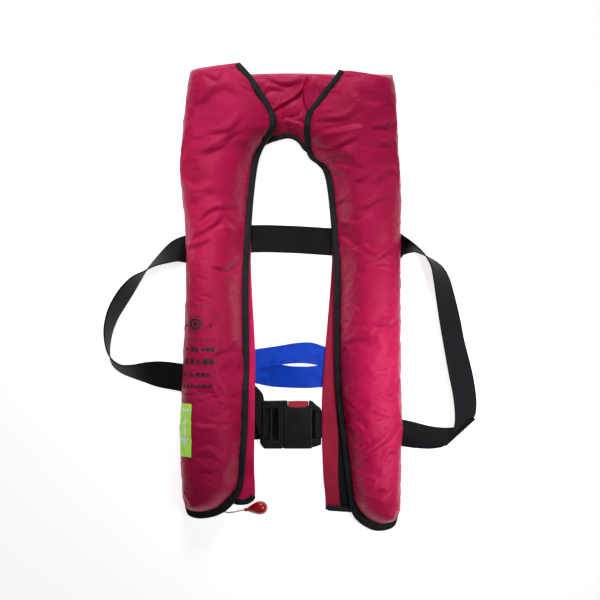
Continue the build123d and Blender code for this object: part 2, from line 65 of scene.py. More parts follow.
# ---- sizes ----
# Heights off the ground: a lobe's crown, its outer seam and its free edge, the collar, the back panels.
CROWN_Z, OUTER_Z, EDGE_Z, COLLAR_Z = 47.0, 27.5, 8.0, 25.0
PANEL_Z, BACK_TOP = 4.4, 297.0
CLOTH_T = 0.9
SEAM_RUN = 640  # length of a cover's long seams
BINDING_W, BINDING_T = 9.6, 3.0
BELT_W, BELT_T = 37.0, 1.6
# In metres: the camera's height, the height it is sized for and the width it sees there.
CAMERA_Z, SHARP_Z, VIEW_WIDTH = 2.0, 0.03, 0.792
# Each lobe: its outer seam, free edge and the inner edge of its back panel from the top down, the y of its
# lower end, how far the taper there reaches, and how high the free edge stands up beside the buckle.
LOBES = {
    "right": {
        "side": -1,
        "outer": [(-133, 301), (-139, 254), (-144.5, 195), (-146, 165), (-143, 135), (-138.5, 82), (-138, 10),
                  (-141, -63), (-144, -135), (-146, -175), (-144.5, -228), (-143, -258), (-142, -272)],
        "edge": [(-68, 310.9), (-50, 290), (-37, 270), (-27, 253), (-20, 238), (-21, 223), (-30, 209),
                 (-39, 195), (-45, 175), (-50, 135), (-53, 96), (-56, 50), (-57, -3), (-56.5, -69),
                 (-57, -135), (-59, -190), (-63, -238), (-68, -260), (-76, -273), (-87, -284),
                 (-102, -291.5), (-120, -294.4), (-132, -292.6), (-138.6, -287.5), (-141.6, -277)],
        "strip": [(-53.5, 70), (-53.5, 40), (-51.5, -3), (-48, -69), (-48, -135), (-49, -228), (-48, -264),
                  (-50, -271)],
        "bottom": -290.0,
        "reach": 62.0,
        "lift": 9.6,
    },
    "left": {
        "side": 1,
        "outer": [(135.5, 288), (138, 261), (141, 195), (144.5, 142), (144, 89), (144, -3), (144.5, -109),
                  (146.5, -172), (145, -201), (144.5, -241), (144.2, -267), (143.5, -286)],
        "edge": [(64, 301), (54, 287), (41, 270), (30, 255), (21, 244), (18, 229), (18, 206), (24, 187),
                 (36, 177), (44, 166), (49, 142), (53, 103), (56, 62), (58, 23), (58, -69), (60, -125),
                 (66, -180), (72, -230), (77.5, -272), (83, -290), (93, -301), (107, -309), (118, -310.9),
                 (130, -309), (138.5, -303.5), (142.8, -292)],
        "strip": [(55, 70), (54, 40), (51, -3), (45.5, -69), (41, -135), (41, -188), (43, -241), (46, -282)],
        "bottom": -306.0,
        "reach": 48.0,
        "lift": 0.0,
    },
}
LIFT_Y = (-95, -128, -210, -245)  # where that rise starts, is full, stays full and ends
# The right loop of the belt: x, y, degrees on edge and height of the lowest edge.
RIGHT_LOOP = [(-139.2, 65, 4, 1.3), (-153, 62, 34, 0.65), (-168, 54, 58, 0), (-182, 45, 76, 0),
              (-194, 35, 88, 0), (-206, 24, 104, 0), (-218, 9, 114, 0), (-229, -8, 115, 0),
              (-237, -24, 110, 0), (-242, -41, 103, 0), (-243.5, -58, 95, 0), (-242, -74, 86, 0),
              (-236, -87, 76, 0), (-225, -95, 70, 0), (-209, -98.5, 58, 0), (-192, -100, 38, 0),
              (-172, -103, 14, 0), (-145.2, -107.5, 0, 1.3), (-120, -115, 0, 1.3), (-94, -123, 0, 1.3)]
# Control points of the lanyard's route, from the lever to the handle.
LANYARD = [(-120, -259.8, 9.9), (-114.2, -266, 9.3), (-107.6, -272.2, 7.3), (-101, -278.4, 4.2),
           (-94.3, -284.2, 1.9), (-86.5, -288, 1.5), (-77.5, -287.6, 1.4), (-69.2, -285.3, 1.53),
           (-62.25, -284.05, 3.43)]
LANYARD_D = 2.2

# Folds of each cover: (x0, y0, x1, y1, half width, depth); a negative depth is a ridge.
FOLDS = {
    "right": [
        (-122, 208, -60, 234, 5.5, 2.4), (-116, 176, -62, 210, 7.0, 3.2), (-142, 155, -104, 154, 5.5, 2.6),
        (-128, 250, -70, 268, 9.0, 1.6), (-106, 196, -50, 214, 6.0, -1.2), (-126, 92, -68, 120, 4.5, 2.6),
        (-132, 72, -84, 112, 5.5, 2.8), (-140, 57, -102, 72, 4.5, 2.4), (-104, 36, -64, 48, 4.5, 2.6),
        (-118, 84, -70, 88, 5.0, -1.4), (-136, 128, -90, 138, 7.0, 1.4), (-98, 12, -62, 20, 4.0, 1.2),
        (-104, -82, -70, -58, 5.0, 1.8), (-110, -60, -84, -12, 6.0, 1.1), (-102, -116, -66, -136, 4.5, 1.8),
        (-130, -164, -88, -173, 4.0, 1.7), (-112, -150, -66, -156, 5.0, 1.2),
        (-128, -196, -84, -204, 5.0, 1.5), (-126, -232, -92, -226, 6.0, 1.3),
        (-138, -92, -106, -96, 6.0, 0.9), (-112, 286, -84, 292, 6.0, 1.4),
    ],
    "left": [
        (30, 228, 92, 244, 5.0, 1.8), (28, 207, 98, 219, 4.0, -2.0), (30, 199, 92, 206, 4.0, 2.4),
        (34, 190, 84, 184, 4.0, -1.8), (36, 181, 78, 176, 5.0, 2.4), (54, 172, 66, 130, 7.0, 1.8),
        (104, 216, 140, 232, 5.0, 2.0), (112, 192, 140, 200, 4.5, 1.8), (72, 152, 116, 162, 5.0, 1.6),
        (104, 146, 142, 160, 5.0, 2.0), (84, 116, 138, 134, 5.0, 1.9), (58, 122, 80, 124, 3.5, 1.8),
        (62, 84, 98, 68, 5.0, 2.4), (92, 68, 122, 62, 4.5, 2.0), (64, 100, 110, 104, 5.0, -1.2),
        (96, 40, 142, 52, 6.0, 1.5), (62, 34, 96, 32, 4.0, 1.4), (64, -10, 94, -14, 3.5, 1.7),
        (70, -62, 112, -47, 4.5, 2.2), (104, -50, 144, -32, 4.5, 2.4), (84, -46, 132, -26, 6.0, -1.3),
        (118, -122, 146, -130, 5.0, 1.8), (66, -104, 104, -108, 6.0, 0.9), (72, -164, 100, -169, 3.5, 1.9),
        (80, -222, 142, -168, 5.0, 2.9), (80, -208, 116, -194, 3.5, -2.0), (78, -190, 108, -196, 3.5, 1.7),
        (84, -228, 116, -237, 4.5, 2.0), (96, -260, 126, -254, 4.5, 2.2), (120, -216, 144, -206, 5.0, 1.6),
        (86, -246, 112, -242, 4.0, -1.4), (92, -278, 134, -276, 7.0, 1.4), (78, 270, 124, 262, 8.0, 1.6),
    ],
    "collar": [
        (-28, 242, 26, 290, 3.2, 3.4), (-22, 236, 10, 262, 3.5, -1.8), (21, 288, 20, 236, 3.4, 2.6),
        (-4, 238, 22, 222, 3.4, 2.6), (-12, 262, -4, 228, 3.0, 1.8), (-40, 262, -8, 276, 5.0, 1.6),
        (-16, 232, 18, 243, 3.0, -1.6), (6, 262, 40, 292, 4.0, -1.4), (-34, 286, 30, 288, 5.0, 1.8),
    ],
}


# ---- curves and small maths ----
def smooth(t):
    t = np.clip(t, 0.0, 1.0)
    return t * t * (3 - 2 * t)


def curve(points, count, per_span=24):
    """A smooth curve through points, sampled evenly along its length."""
    return resample(along_points(points, per_span), count)


def arc_length(q):
    return np.concatenate([[0], np.cumsum(np.linalg.norm(np.diff(q, axis=0), axis=1))])


def along_points(points, per_span):
    """A smooth curve with the same number of samples between each two points."""
    p = np.array(points, float)
    p = np.vstack([2 * p[0] - p[1], p, 2 * p[-1] - p[-2]])
    t = np.linspace(0, 1, per_span, endpoint=False)[:, None]
    spans = []
    for a, b, c, d in zip(p, p[1:], p[2:], p[3:]):
        bend, twist = 2 * a - 5 * b + 4 * c - d, 3 * b - a - 3 * c + d
        spans.append(0.5 * (2 * b + (c - a) * t + bend * t ** 2 + twist * t ** 3))
    return np.vstack(spans + [p[-2:-1]])


def resample(q, count):
    s = arc_length(q)
    even = np.linspace(0, s[-1], count)
    return np.column_stack([np.interp(even, s, q[:, k]) for k in range(q.shape[1])])


def unit(v):
    return v / np.maximum(np.linalg.norm(v, axis=-1, keepdims=True), 1e-9)


def tangents(q):
    return unit(np.gradient(q, axis=0))


def wobble(x, seed, scale):
    """Smooth seeded noise of one variable, about -1 to 1."""
    phase = [rng_at(seed, k) * 2 * math.pi for k in range(4)]
    waves = [np.sin(x / scale * f + p) / f ** 0.5 for f, p in zip((1.0, 1.83, 3.1, 5.3), phase)]
    return sum(waves) / 2.2


def rng_at(seed, k):
    return random.Random(seed * 101 + k).random()


def field(x, y, seed, scale):
    """Smooth seeded noise over the plane, about -1 to 1."""
    total = 0
    for k in range(7):
        a = rng_at(seed, k) * 2 * math.pi
        f = 1.0 + 0.55 * k
        warp = 0.9 * np.sin((x * math.sin(a) - y * math.cos(a)) / scale * 0.7 + 5 * rng_at(seed, k + 20))
        total = total + np.sin((x * math.cos(a) + y * math.sin(a)) / scale * f + warp + k * 1.7) / f ** 0.8
    return total / 2.6


# ---- mesh helpers ----
def link(obj):
    bpy.context.scene.collection.objects.link(obj)
    return obj


def new_object(name, verts, faces, material, uvs=None):
    mesh = bpy.data.meshes.new(name)
    mesh.from_pydata([tuple(v) for v in verts], [], [tuple(f) for f in faces])
    if uvs is not None:
        layer = mesh.uv_layers.new(name="cloth")
        flat = np.array([uvs[v] for f in faces for v in f], np.float32)
        layer.data.foreach_set("uv", flat.ravel())
    mesh.polygons.foreach_set("use_smooth", [True] * len(mesh.polygons))
    mesh.materials.append(material)
    mesh.update()
    return link(bpy.data.objects.new(name, mesh))


def grid_faces(rows, cols, closed=False):
    faces = []
    for i in range(rows - 1):
        for j in range(cols if closed else cols - 1):
            k = (j + 1) % cols
            faces.append((i * cols + j, i * cols + k, (i + 1) * cols + k, (i + 1) * cols + j))
    return faces


def capped_faces(rows, cols):
    """Faces of a closed tube of rings, with a face over each end."""
    ends = [tuple(range(cols))[::-1], tuple(range((rows - 1) * cols, rows * cols))]
    return grid_faces(rows, cols, closed=True) + ends


def grid_uv(p):
    """UVs in metres along the rows and across them."""
    down = np.cumsum(np.linalg.norm(np.diff(p, axis=0, prepend=p[:1]), axis=2), axis=0)
    across = np.cumsum(np.linalg.norm(np.diff(p, axis=1, prepend=p[:, :1]), axis=2), axis=1)
    return np.dstack([down, across]).reshape(-1, 2)


def grid_object(name, p, material, thickness, offset=0, subdivide=0):
    """A sheet from an array of points in mm, made thick and subdivided in the mesh itself."""
    q = p * MM
    rows, cols = q.shape[:2]
    obj = new_object(name, q.reshape(-1, 3), grid_faces(rows, cols), material, grid_uv(q))
    fix_up(obj)
    return thicken(obj, thickness, offset, subdivide)


def thicken(obj, thickness, offset, subdivide=0):
    """Gives a sheet a thickness in mm, below it if offset is -1 and to both sides if it is 0."""
    thick = obj.modifiers.new("thick", "SOLIDIFY")
    thick.thickness = thickness * MM
    thick.offset = offset
    if subdivide:
        obj.modifiers.new("sub", "SUBSURF").levels = subdivide
    return apply_modifiers(obj)


def evaluated_mesh(obj):
    graph = bpy.context.evaluated_depsgraph_get()
    return bpy.data.meshes.new_from_object(obj.evaluated_get(graph), depsgraph=graph)


def apply_modifiers(obj):
    mesh = evaluated_mesh(obj)
    obj.modifiers.clear()
    obj.data = mesh
    return obj


def grid_normals(p):
    return unit(np.cross(np.gradient(p, axis=1), np.gradient(p, axis=0)))


def upward_normals(p):
    """The normals of a grid of points, on its upper side."""
    n = grid_normals(p)
    return -n if n[:, :, 2].mean() < 0 else n


def edge_axes(line, inward):
    """Directions into the cloth and up from an edge line, at right angles to it."""
    along = tangents(line)
    inward = unit(inward - along * np.sum(inward * along, axis=1, keepdims=True))
    up = unit(np.cross(along, inward))
    return inward, up * np.sign(up[:, 2:3])


def section_ring(width, thick, rounding=3):
    """A flat strap's cross-section, as (across, up) round the ring."""
    r = thick / 2
    ring = []
    for sign in (1, -1):
        for k in range(rounding + 1):
            a = math.pi / 2 - math.pi * k / rounding
            ring.append((sign * (width / 2 - r + r * math.cos(a)), sign * r * math.sin(a)))
        ring += [(-sign * c, -sign * r) for c in np.linspace(-1, 1, 7)[1:-1] * (width / 2 - r)]
    return ring


def sweep(name, centres, across, up, ring, material, widths=None):
    """A closed ring of (across, up) points in mm swept along centres."""
    n, m = len(centres), len(ring)
    verts, uvs = [], []
    s = arc_length(centres)
    for i in range(n):
        k = 1.0 if widths is None else widths[i]
        for c, h in ring:
            verts.append((centres[i] + across[i] * c * k + up[i] * h) * MM)
            uvs.append((s[i] * MM, c * MM))
    obj = new_object(name, verts, capped_faces(n, m), material, uvs)
    fix_normals(obj)
    return obj


def fix_normals(obj, weld=0.0):
    bm = bmesh.new()
    bm.from_mesh(obj.data)
    if weld:
        bmesh.ops.remove_doubles(bm, verts=bm.verts, dist=weld)
    bmesh.ops.recalc_face_normals(bm, faces=bm.faces)
    bm.to_mesh(obj.data)
    bm.free()


def join(name, objects):
    """One object from several, which keep their materials."""
    bpy.ops.object.select_all(action="DESELECT")
    for o in objects:
        o.select_set(True)
    bpy.context.view_layer.objects.active = objects[0]
    bpy.ops.object.join()
    objects[0].name = name
    return objects[0]


def stitches(name, path, up, pitch=3.3, length=2.2, radius=0.24):
    """A row of thread stitches lying along a path, each a small bent capsule."""
    s = arc_length(path)
    count = int(s[-1] / pitch)
    verts, faces = [], []
    sides = 5
    for i in range(count):
        at = s[-1] * (i + 0.5) / count
        pos = [np.array([np.interp(at + d, s, path[:, k]) for k in range(3)])
               for d in (-length / 2, -length / 4, length / 4, length / 2)]
        n = np.array([np.interp(at, s, up[:, k]) for k in range(3)])
        t = unit(pos[3] - pos[0])
        b = unit(np.cross(t, n))
        faces += [tuple(len(verts) + v for v in face) for face in capped_faces(4, sides)]
        for p, r, h in zip(pos, (0.35, 1, 1, 0.35), (-0.25, 0.1, 0.1, -0.25)):
            for k in range(sides):
                a = 2 * math.pi * k / sides
                verts.append((p + n * (h + r * radius * math.sin(a)) + b * r * radius * math.cos(a)) * MM)
    return new_object(name, verts, faces, THREAD)


# ---- materials ----
def srgb(r, g, b):
    return tuple((c / 255 / 12.92 if c / 255 <= 0.04045 else ((c / 255 + 0.055) / 1.055) ** 2.4)
                 for c in (r, g, b)) + (1.0,)


class Look:
    """A Principled material with a short way to add nodes."""

    def __init__(self, name, colour, roughness, **sockets):
        self.material = bpy.data.materials.new(name)
        self.material.use_nodes = True
        self.tree = self.material.node_tree
        self.bsdf = self.tree.nodes["Principled BSDF"]
        self.bsdf.inputs["Base Color"].default_value = colour
        self.bsdf.inputs["Roughness"].default_value = roughness
        for socket, value in sockets.items():
            self.bsdf.inputs[socket.replace("_", " ")].default_value = value
        self.material.diffuse_color = colour

    def add(self, kind, inputs=None, **settings):
        node = self.tree.nodes.new("ShaderNode" + kind)
        for key, value in settings.items():
            setattr(node, key, value)
        for key, value in (inputs or {}).items():
            if isinstance(value, bpy.types.NodeSocket):
                self.tree.links.new(value, node.inputs[key])
            else:
                node.inputs[key].default_value = value
        return node

    def to(self, socket, value):
        self.tree.links.new(value, self.bsdf.inputs[socket])

    def place(self):
        return self.add("TexCoord").outputs["Object"]

    def uv(self):
        return self.add("UVMap", uv_map="cloth").outputs["UV"]

    def noise(self, coords, scale, detail=3.0, roughness=0.5):
        return self.add("TexNoise", {"Vector": coords, "Scale": scale, "Detail": detail,
                                     "Roughness": roughness}).outputs["Fac"]

    def ramp(self, fac, low, high):
        return self.add("MapRange", {"Value": fac, "From Min": 0.3, "From Max": 0.7, "To Min": low,
                                     "To Max": high}).outputs["Result"]

    def mix(self, fac, a, b):
        node = self.add("Mix", data_type="RGBA")
        self.tree.links.new(fac, node.inputs[0])
        for index, value in ((6, a), (7, b)):
            if isinstance(value, bpy.types.NodeSocket):
                self.tree.links.new(value, node.inputs[index])
            else:
                node.inputs[index].default_value = value
        return node.outputs[2]

    def math(self, operation, a, b=0.0):
        return self.add("Math", {0: a, 1: b}, operation=operation).outputs[0]

    def bands(self, coords, axis, pitch_mm):
        """Bands across an axis, one every pitch_mm; the wave node turns 20 radians per unit of scale."""
        scale = 2 * math.pi / 20 / (pitch_mm * MM)
        return self.add("TexWave", {"Vector": coords, "Scale": scale, "Distortion": 0.0},
                        bands_direction=axis).outputs["Fac"]

    def bump(self, height, depth_mm, strength=1.0, under=None):
        inputs = {"Height": height, "Distance": depth_mm * MM, "Strength": strength}
        if under is not None:
            inputs["Normal"] = under
        normal = self.add("Bump", inputs).outputs["Normal"]
        self.to("Normal", normal)
        return normal


def nylon(name, deep, lit, shine, **sockets):
    """Coated nylon taffeta: fine plain weave, soft shine, slow colour drift, creased highlights."""
    look = Look(name, lit, 0.42, Specular_IOR_Level=0.36, Specular_Tint=shine, **sockets)
    place, uv = look.place(), look.uv()
    drift = look.noise(place, 11.0, 4.0)
    colour = look.mix(look.ramp(drift, 0.15, 1.0), deep, lit)
    look.to("Base Color", colour)
    look.to("Roughness", look.ramp(look.noise(place, 38.0, 4.0), 0.36, 0.5))
    weave = look.math("ADD", look.bands(uv, "X", 0.42), look.bands(uv, "Y", 0.42))
    fine = look.bump(weave, 0.035, 0.6)
    crumple = look.noise(place, 160.0, 4.0, 0.62)
    look.bump(crumple, 0.5, 0.32, under=fine)
    return look.material


def webbing(name, colour, light, rib_mm=1.7, roughness=0.62):
    """Woven webbing: ribs along it, a herringbone across, slightly worn high spots."""
    look = Look(name, colour, roughness, Specular_IOR_Level=0.14)
    uv = look.uv()
    along = look.bands(uv, "X", rib_mm * 0.62)
    diagonal = look.bands(uv, "DIAGONAL", rib_mm * 0.8)
    across = look.bands(uv, "Y", rib_mm * 2.2)
    weave = look.math("ADD", look.math("MULTIPLY", along, across), look.math("MULTIPLY", diagonal, 0.6))
    dust = look.noise(look.place(), 90.0, 4.0)
    look.to("Base Color", look.mix(look.math("MULTIPLY", weave, look.ramp(dust, 0.15, 0.7)), colour, light))
    look.bump(weave, 0.22, 0.75)
    return look.material


def tape(name, colour, light):
    """Binding tape: fine cross ribs and a soft worn shine on its fold."""
    look = Look(name, colour, 0.52, Specular_IOR_Level=0.16)
    uv = look.uv()
    rib = look.bands(uv, "X", 0.9)
    drift = look.noise(look.place(), 60.0, 4.0)
    look.to("Base Color", look.mix(look.math("MULTIPLY", rib, look.ramp(drift, 0.2, 0.9)), colour, light))
    look.to("Roughness", look.ramp(drift, 0.44, 0.62))
    first = look.bump(rib, 0.12, 0.7)
    look.bump(look.noise(look.place(), 220.0, 3.0), 0.3, 0.25, under=first)
    return look.material


def plastic(name, colour, roughness, grain=0.05, light=None, **sockets):
    """Moulded plastic: fine spark-eroded grain and faint rubbing marks."""
    look = Look(name, colour, roughness, **sockets)
    place = look.place()
    rubbed = look.noise(place, 45.0, 5.0)
    look.to("Roughness", look.ramp(rubbed, roughness * 0.85, roughness * 1.2))
    if light:
        look.to("Base Color", look.mix(look.ramp(rubbed, 0.0, 0.5), colour, light))
    look.bump(look.noise(place, 1400.0, 2.0), grain, 0.5)
    return look.material


def metal(name, colour, roughness, axis="Y"):
    """Drawn or turned metal with fine lines along an axis and slight staining."""
    look = Look(name, colour, roughness, Metallic=1.0)
    place = look.place()
    stain = look.noise(place, 30.0, 5.0)
    look.to("Roughness", look.ramp(stain, roughness * 0.8, roughness * 1.35))
    darker = tuple(c * 0.6 for c in colour[:3]) + (1,)
    look.to("Base Color", look.mix(look.ramp(stain, 0.0, 0.35), colour, darker))
    look.bump(look.bands(place, axis, 0.25), 0.01, 0.5)
    return look.material


def fuzz(name, colour, light):
    """Hook or loop tape: a pile of small loops."""
    look = Look(name, colour, 0.85, Specular_IOR_Level=0.08)
    place = look.place()
    pile = look.noise(place, 900.0, 4.0, 0.7)
    look.to("Base Color", look.mix(look.ramp(pile, 0.0, 1.0), colour, light))
    look.bump(pile, 0.4, 0.9)
    return look.material


def braid(name, colour, light):
    """Twisted or braided thread."""
    look = Look(name, colour, 0.6, Specular_IOR_Level=0.2)
    uv = look.uv()
    twist = look.bands(uv, "DIAGONAL", 0.9)
    look.to("Base Color", look.mix(twist, colour, light))
    look.bump(twist, 0.15, 0.8)
    return look.material


RUBY_SHINE = (1.0, 0.30, 0.50, 1.0)
COVER = nylon("cover_nylon", srgb(160, 18, 58), srgb(186, 24, 76), RUBY_SHINE)
# The lining's lighter copy stands in for light falling on the right back panel's strip; the darker copy below
# it is painted shade, for the lobe's shadow over the left back panel.
LINING = nylon("lining_nylon", srgb(184, 18, 66), srgb(212, 30, 90), RUBY_SHINE)
SHADED_LINING = nylon("shaded_lining_nylon", srgb(122, 12, 36), srgb(150, 18, 50), RUBY_SHINE)
BLADDER = nylon("bladder_cloth", srgb(206, 132, 14), srgb(232, 164, 24), (1.0, 0.86, 0.5, 1.0))
BINDING = tape("binding_tape", srgb(15, 18, 20), srgb(36, 42, 45))
THREAD = braid("black_thread", srgb(12, 14, 15), srgb(52, 58, 62))
BELT = webbing("belt_webbing", srgb(7, 7, 11), srgb(22, 22, 29))
BLUE = webbing("blue_ribbon", srgb(0, 46, 168), srgb(4, 86, 218), rib_mm=1.1, roughness=0.4)
BUCKLE = plastic("buckle_plastic", srgb(11, 11, 15), 0.4, light=srgb(19, 19, 25), Specular_IOR_Level=0.2)
BUTTON = plastic("button_plastic", srgb(158, 18, 38), 0.42)
HANDLE = plastic("handle_plastic", srgb(176, 6, 14), 0.26, grain=0.02, Coat_Weight=0.35, Coat_Roughness=0.15)
# The label's emission makes it glow, painted light that keeps it bright where it lies in shade on the right
# cover's outer side.
LIME = nylon("glowing_label_satin", srgb(176, 236, 78), srgb(192, 246, 104), (0.9, 1.0, 0.8, 1.0),
             Emission_Color=srgb(150, 220, 70), Emission_Strength=0.16)
WHITE = plastic("white_print", srgb(250, 255, 246), 0.6)
PRINT = plastic("dark_print", srgb(26, 6, 14), 0.55)
CORD = braid("lanyard_braid", srgb(190, 190, 192), srgb(238, 238, 238))
PILE = fuzz("hook_and_loop", srgb(8, 9, 10), srgb(26, 28, 31))
GREY = plastic("inflator_plastic", srgb(30, 32, 35), 0.5, light=srgb(48, 50, 54))
STEEL = metal("bare_steel", srgb(196, 198, 202), 0.32, "Z")
BRASS = metal("brass", srgb(206, 172, 96), 0.3)
BOTTLE = metal("plated_bottle", srgb(176, 180, 186), 0.36)
RUBBER = plastic("rubber", srgb(14, 14, 15), 0.7, grain=0.08)
VALVE = plastic("valve_plastic", srgb(196, 26, 20), 0.4)
WHISTLE = plastic("whistle_plastic", srgb(236, 98, 10), 0.32)


# ---- covers ----
def lift_at(lobe, y):
    """How far a lobe's free edge stands up at a height y."""
    rise = (LIFT_Y[0] - y) / (LIFT_Y[0] - LIFT_Y[1])
    fall = (y - LIFT_Y[3]) / (LIFT_Y[2] - LIFT_Y[3])
    return lobe["lift"] * smooth(np.minimum(rise, fall))


def level(path, y):
    """The fraction of a path's length where it passes a height y, counted from its top."""
    s = arc_length(path)
    below = int(np.argmax(path[:, 1] <= y))
    return s[below] / s[-1]


def matched_edges(lobe, rows):
    """Points down the free edge and the facing points down the outer edge."""
    edge, outer = curve(lobe["edge"], 1200), curve(lobe["outer"], 1200)
    ys = (250, 150, 50, -50, -150, -205)
    on_edge = [0] + [level(edge, y) for y in ys] + [1]
    on_outer = [0] + [level(outer, y) for y in ys] + [1]
    f = np.linspace(0, 1, rows)
    g = np.interp(f, on_edge, on_outer)
    pick = np.linspace(0, 1, 1200)
    e = np.column_stack([np.interp(f, pick, edge[:, k]) for k in (0, 1)])
    o = np.column_stack([np.interp(g, pick, outer[:, k]) for k in (0, 1)])
    return e, o


def tape_width(lobe, y):
    """Width of the edge binding, which is wider round the lower end."""
    return BINDING_W * (1 + 0.36 * smooth((lobe["bottom"] + 34 - y) / 22))


def cover_grid(name, rows=220, crown=CROWN_Z):
    """The front cover of a lobe as an array of points, from the outer edge (column 0) to the free edge."""
    lobe = LOBES[name]
    e, o = matched_edges(lobe, rows)
    across = e - o
    width = np.linalg.norm(across, axis=1)
    mid_y = (e[:, 1] + o[:, 1]) / 2
    low = (mid_y - lobe["bottom"]) / lobe["reach"]
    high = (308 - mid_y) / 40
    t = np.clip(np.minimum(low, high), 0, 1)
    fall = np.sqrt(np.clip(1 - (1 - t) ** 2, 0, 1)) * np.clip(width / 45, 0, 1)
    z_in = EDGE_Z + 1.3 + (COLLAR_Z + 4 - EDGE_Z) * smooth((e[:, 1] - 190) / 38) + lift_at(lobe, e[:, 1])
    z_in = z_in * (0.75 + 0.25 * np.clip(fall, 0, 1))
    z_out = 9 + (OUTER_Z - 9) * fall
    top = np.maximum(z_in, z_out) + (crown - np.maximum(z_in, z_out)) * fall

    peak = 0.42
    flat = np.clip((tape_width(lobe, e[:, 1]) - 2.0) / np.maximum(width, 8), 0, 0.5)
    end = 1 - flat
    columns = []
    for u in peak * (1 - np.cos(np.linspace(0, math.pi / 2, 15))):
        columns.append((np.full(rows, u) * np.clip(end / 0.6, 0, 1),
                        z_out + (top - z_out) * (1 - (1 - u / peak) ** 2.3) ** (1 / 2.3)))
    start = peak * np.clip(end / 0.6, 0, 1)
    for s in np.sin(np.linspace(0, math.pi / 2, 22))[1:]:
        columns.append((start + (end - start) * s, z_in + (top - z_in) * (1 - s ** 2.0) ** 0.66))
    for s in (0.5, 1.0):
        columns.append((end + flat * s, z_in - 0.2 * s))
    u = np.column_stack([c[0] for c in columns])
    z = np.column_stack([c[1] for c in columns])
    xy = o[:, None, :] + across[:, None, :] * u[:, :, None]
    return np.dstack([xy, z]), u, width


def finer(q):
    """The same grid with a point added halfway along each side, on a smooth curve."""
    for axis in (0, 1):
        q = np.swapaxes(q, 0, axis)
        padded = np.concatenate([2 * q[:1] - q[1:2], q, 2 * q[-1:] - q[-2:-1]])
        half = (9 * (padded[1:-2] + padded[2:-1]) - padded[:-3] - padded[3:]) / 16
        out = np.empty((2 * len(q) - 1,) + q.shape[1:])
        out[::2], out[1::2] = q, half
        q = np.swapaxes(out, 0, axis)
    return q


def crease(d, w):
    """Section of a fold in cloth: a tight valley with one steep side and a swelling beside it."""
    wide = np.where(d > 0, 2.6 * w, 0.8 * w)
    return -np.exp(-(np.abs(d) / wide) ** 1.35) + 0.55 * np.exp(-((d + 1.9 * w) / (1.1 * w)) ** 2)


def folds_at(x, y, folds):
    """Height change at each point from a list of folds."""
    total = np.zeros_like(x)
    for k, (x0, y0, x1, y1, w, depth) in enumerate(folds):
        length = math.hypot(x1 - x0, y1 - y0)
        ux, uy = (x1 - x0) / length, (y1 - y0) / length
        t = ((x - x0) * ux + (y - y0) * uy) / length
        bow = 0.09 * length * np.sin(np.pi * np.clip(t, 0, 1)) * (1 if k % 2 else -1)
        d = (y - y0) * ux - (x - x0) * uy - bow - 0.5 * w * np.sin(t * 7 + k)
        along = np.clip(1 - np.abs(2 * t - 1) ** 2.5, 0, 1) ** 0.8
        side = 1 if uy * ux <= 0 else -1
        total += along * 1.25 * depth * crease(side * d, w * (0.55 + 0.35 * np.clip(t, 0, 1)))
    return total


def gathers(s, inward, seed, count, span, reach, amount):
    """Small pleats that run in from a sewn edge, each with its own place, length and slant."""
    total = np.zeros_like(inward)
    for k in range(count):
        at = span * (k + 0.8 * rng_at(seed, 4 * k)) / count
        length = reach * (0.35 + 1.1 * rng_at(seed, 4 * k + 1) ** 2)
        slant = 0.9 * (rng_at(seed, 4 * k + 2) - 0.5)
        size = amount * (0.3 + 0.9 * rng_at(seed, 4 * k + 3))
        width = 1.5 + 0.035 * inward
        total += size * crease(s - at - slant * inward, width) * np.exp(-(inward / length) ** 2)
    return total


def add_wrinkles(name, p, u, width):
    """Folds, gathers along both seams and a fine crumple, all along the surface normal."""
    x, y = p[:, :, 0], p[:, :, 1]
    s = np.linspace(0, 1, p.shape[0])[:, None] * SEAM_RUN
    to_edge = (1 - u) * width[:, None]
    to_outer = u * width[:, None]
    seed = 3 if LOBES[name]["side"] < 0 else 8
    d = folds_at(x, y, FOLDS[name])
    d += gathers(s, np.maximum(to_edge - 9, 0), seed, 84, SEAM_RUN, 12, 0.62)
    d += gathers(s, to_outer, seed + 1, 46, SEAM_RUN, 11, 0.5)
    d += field(x, y * 1.6, seed + 4, 30) * 0.5 + field(x * 0.6, y * 1.8, seed + 5, 11) * 0.16
    hold = smooth((to_edge - 7) / 5) * smooth(to_outer / 4 + 0.15)
    hold *= smooth(np.minimum(s, SEAM_RUN - s) / 14)
    return p + upward_normals(p) * (d * hold)[:, :, None]


def relax(obj, rows, cols, border, frames=14, cap=2.2):
    """Cloth simulation of a sheet held at its seams. It is a little larger than its frame, so it puckers, and
    no point moves further than cap, in mm. The border is the held points beside each side: top and bottom,
    first column, last column."""
    ends, first, last = border
    held = [i * cols + j for i in range(rows) for j in range(cols)
            if i < ends or i >= rows - ends or j < first or j >= cols - last]
    before = np.array([v.co for v in obj.data.vertices])
    obj.vertex_groups.new(name="held").add(held, 1.0, "REPLACE")
    cloth = obj.modifiers.new("cloth", "CLOTH")
    settings = cloth.settings
    settings.quality = 6
    settings.mass = 0.12
    settings.tension_stiffness = settings.compression_stiffness = 22
    settings.shear_stiffness = 8
    settings.bending_stiffness = 0.35
    settings.air_damping = 3
    settings.vertex_group_mass = "held"
    settings.shrink_min = -0.008
    settings.use_pressure = True
    settings.uniform_pressure_force = 1.0
    settings.effector_weights.gravity = 0
    cloth.collision_settings.use_collision = False
    cloth.point_cache.frame_start = 1
    cloth.point_cache.frame_end = frames
    scene = bpy.context.scene
    for f in range(1, frames + 1):
        scene.frame_set(f)
    apply_modifiers(obj)
    scene.frame_set(1)
    move = np.array([v.co for v in obj.data.vertices]) - before
    far = np.linalg.norm(move, axis=1, keepdims=True)
    move *= np.minimum(1, cap * MM / np.maximum(far, 1e-9))
    obj.data.vertices.foreach_set("co", (before + move).astype(np.float32).ravel())
    obj.data.update()


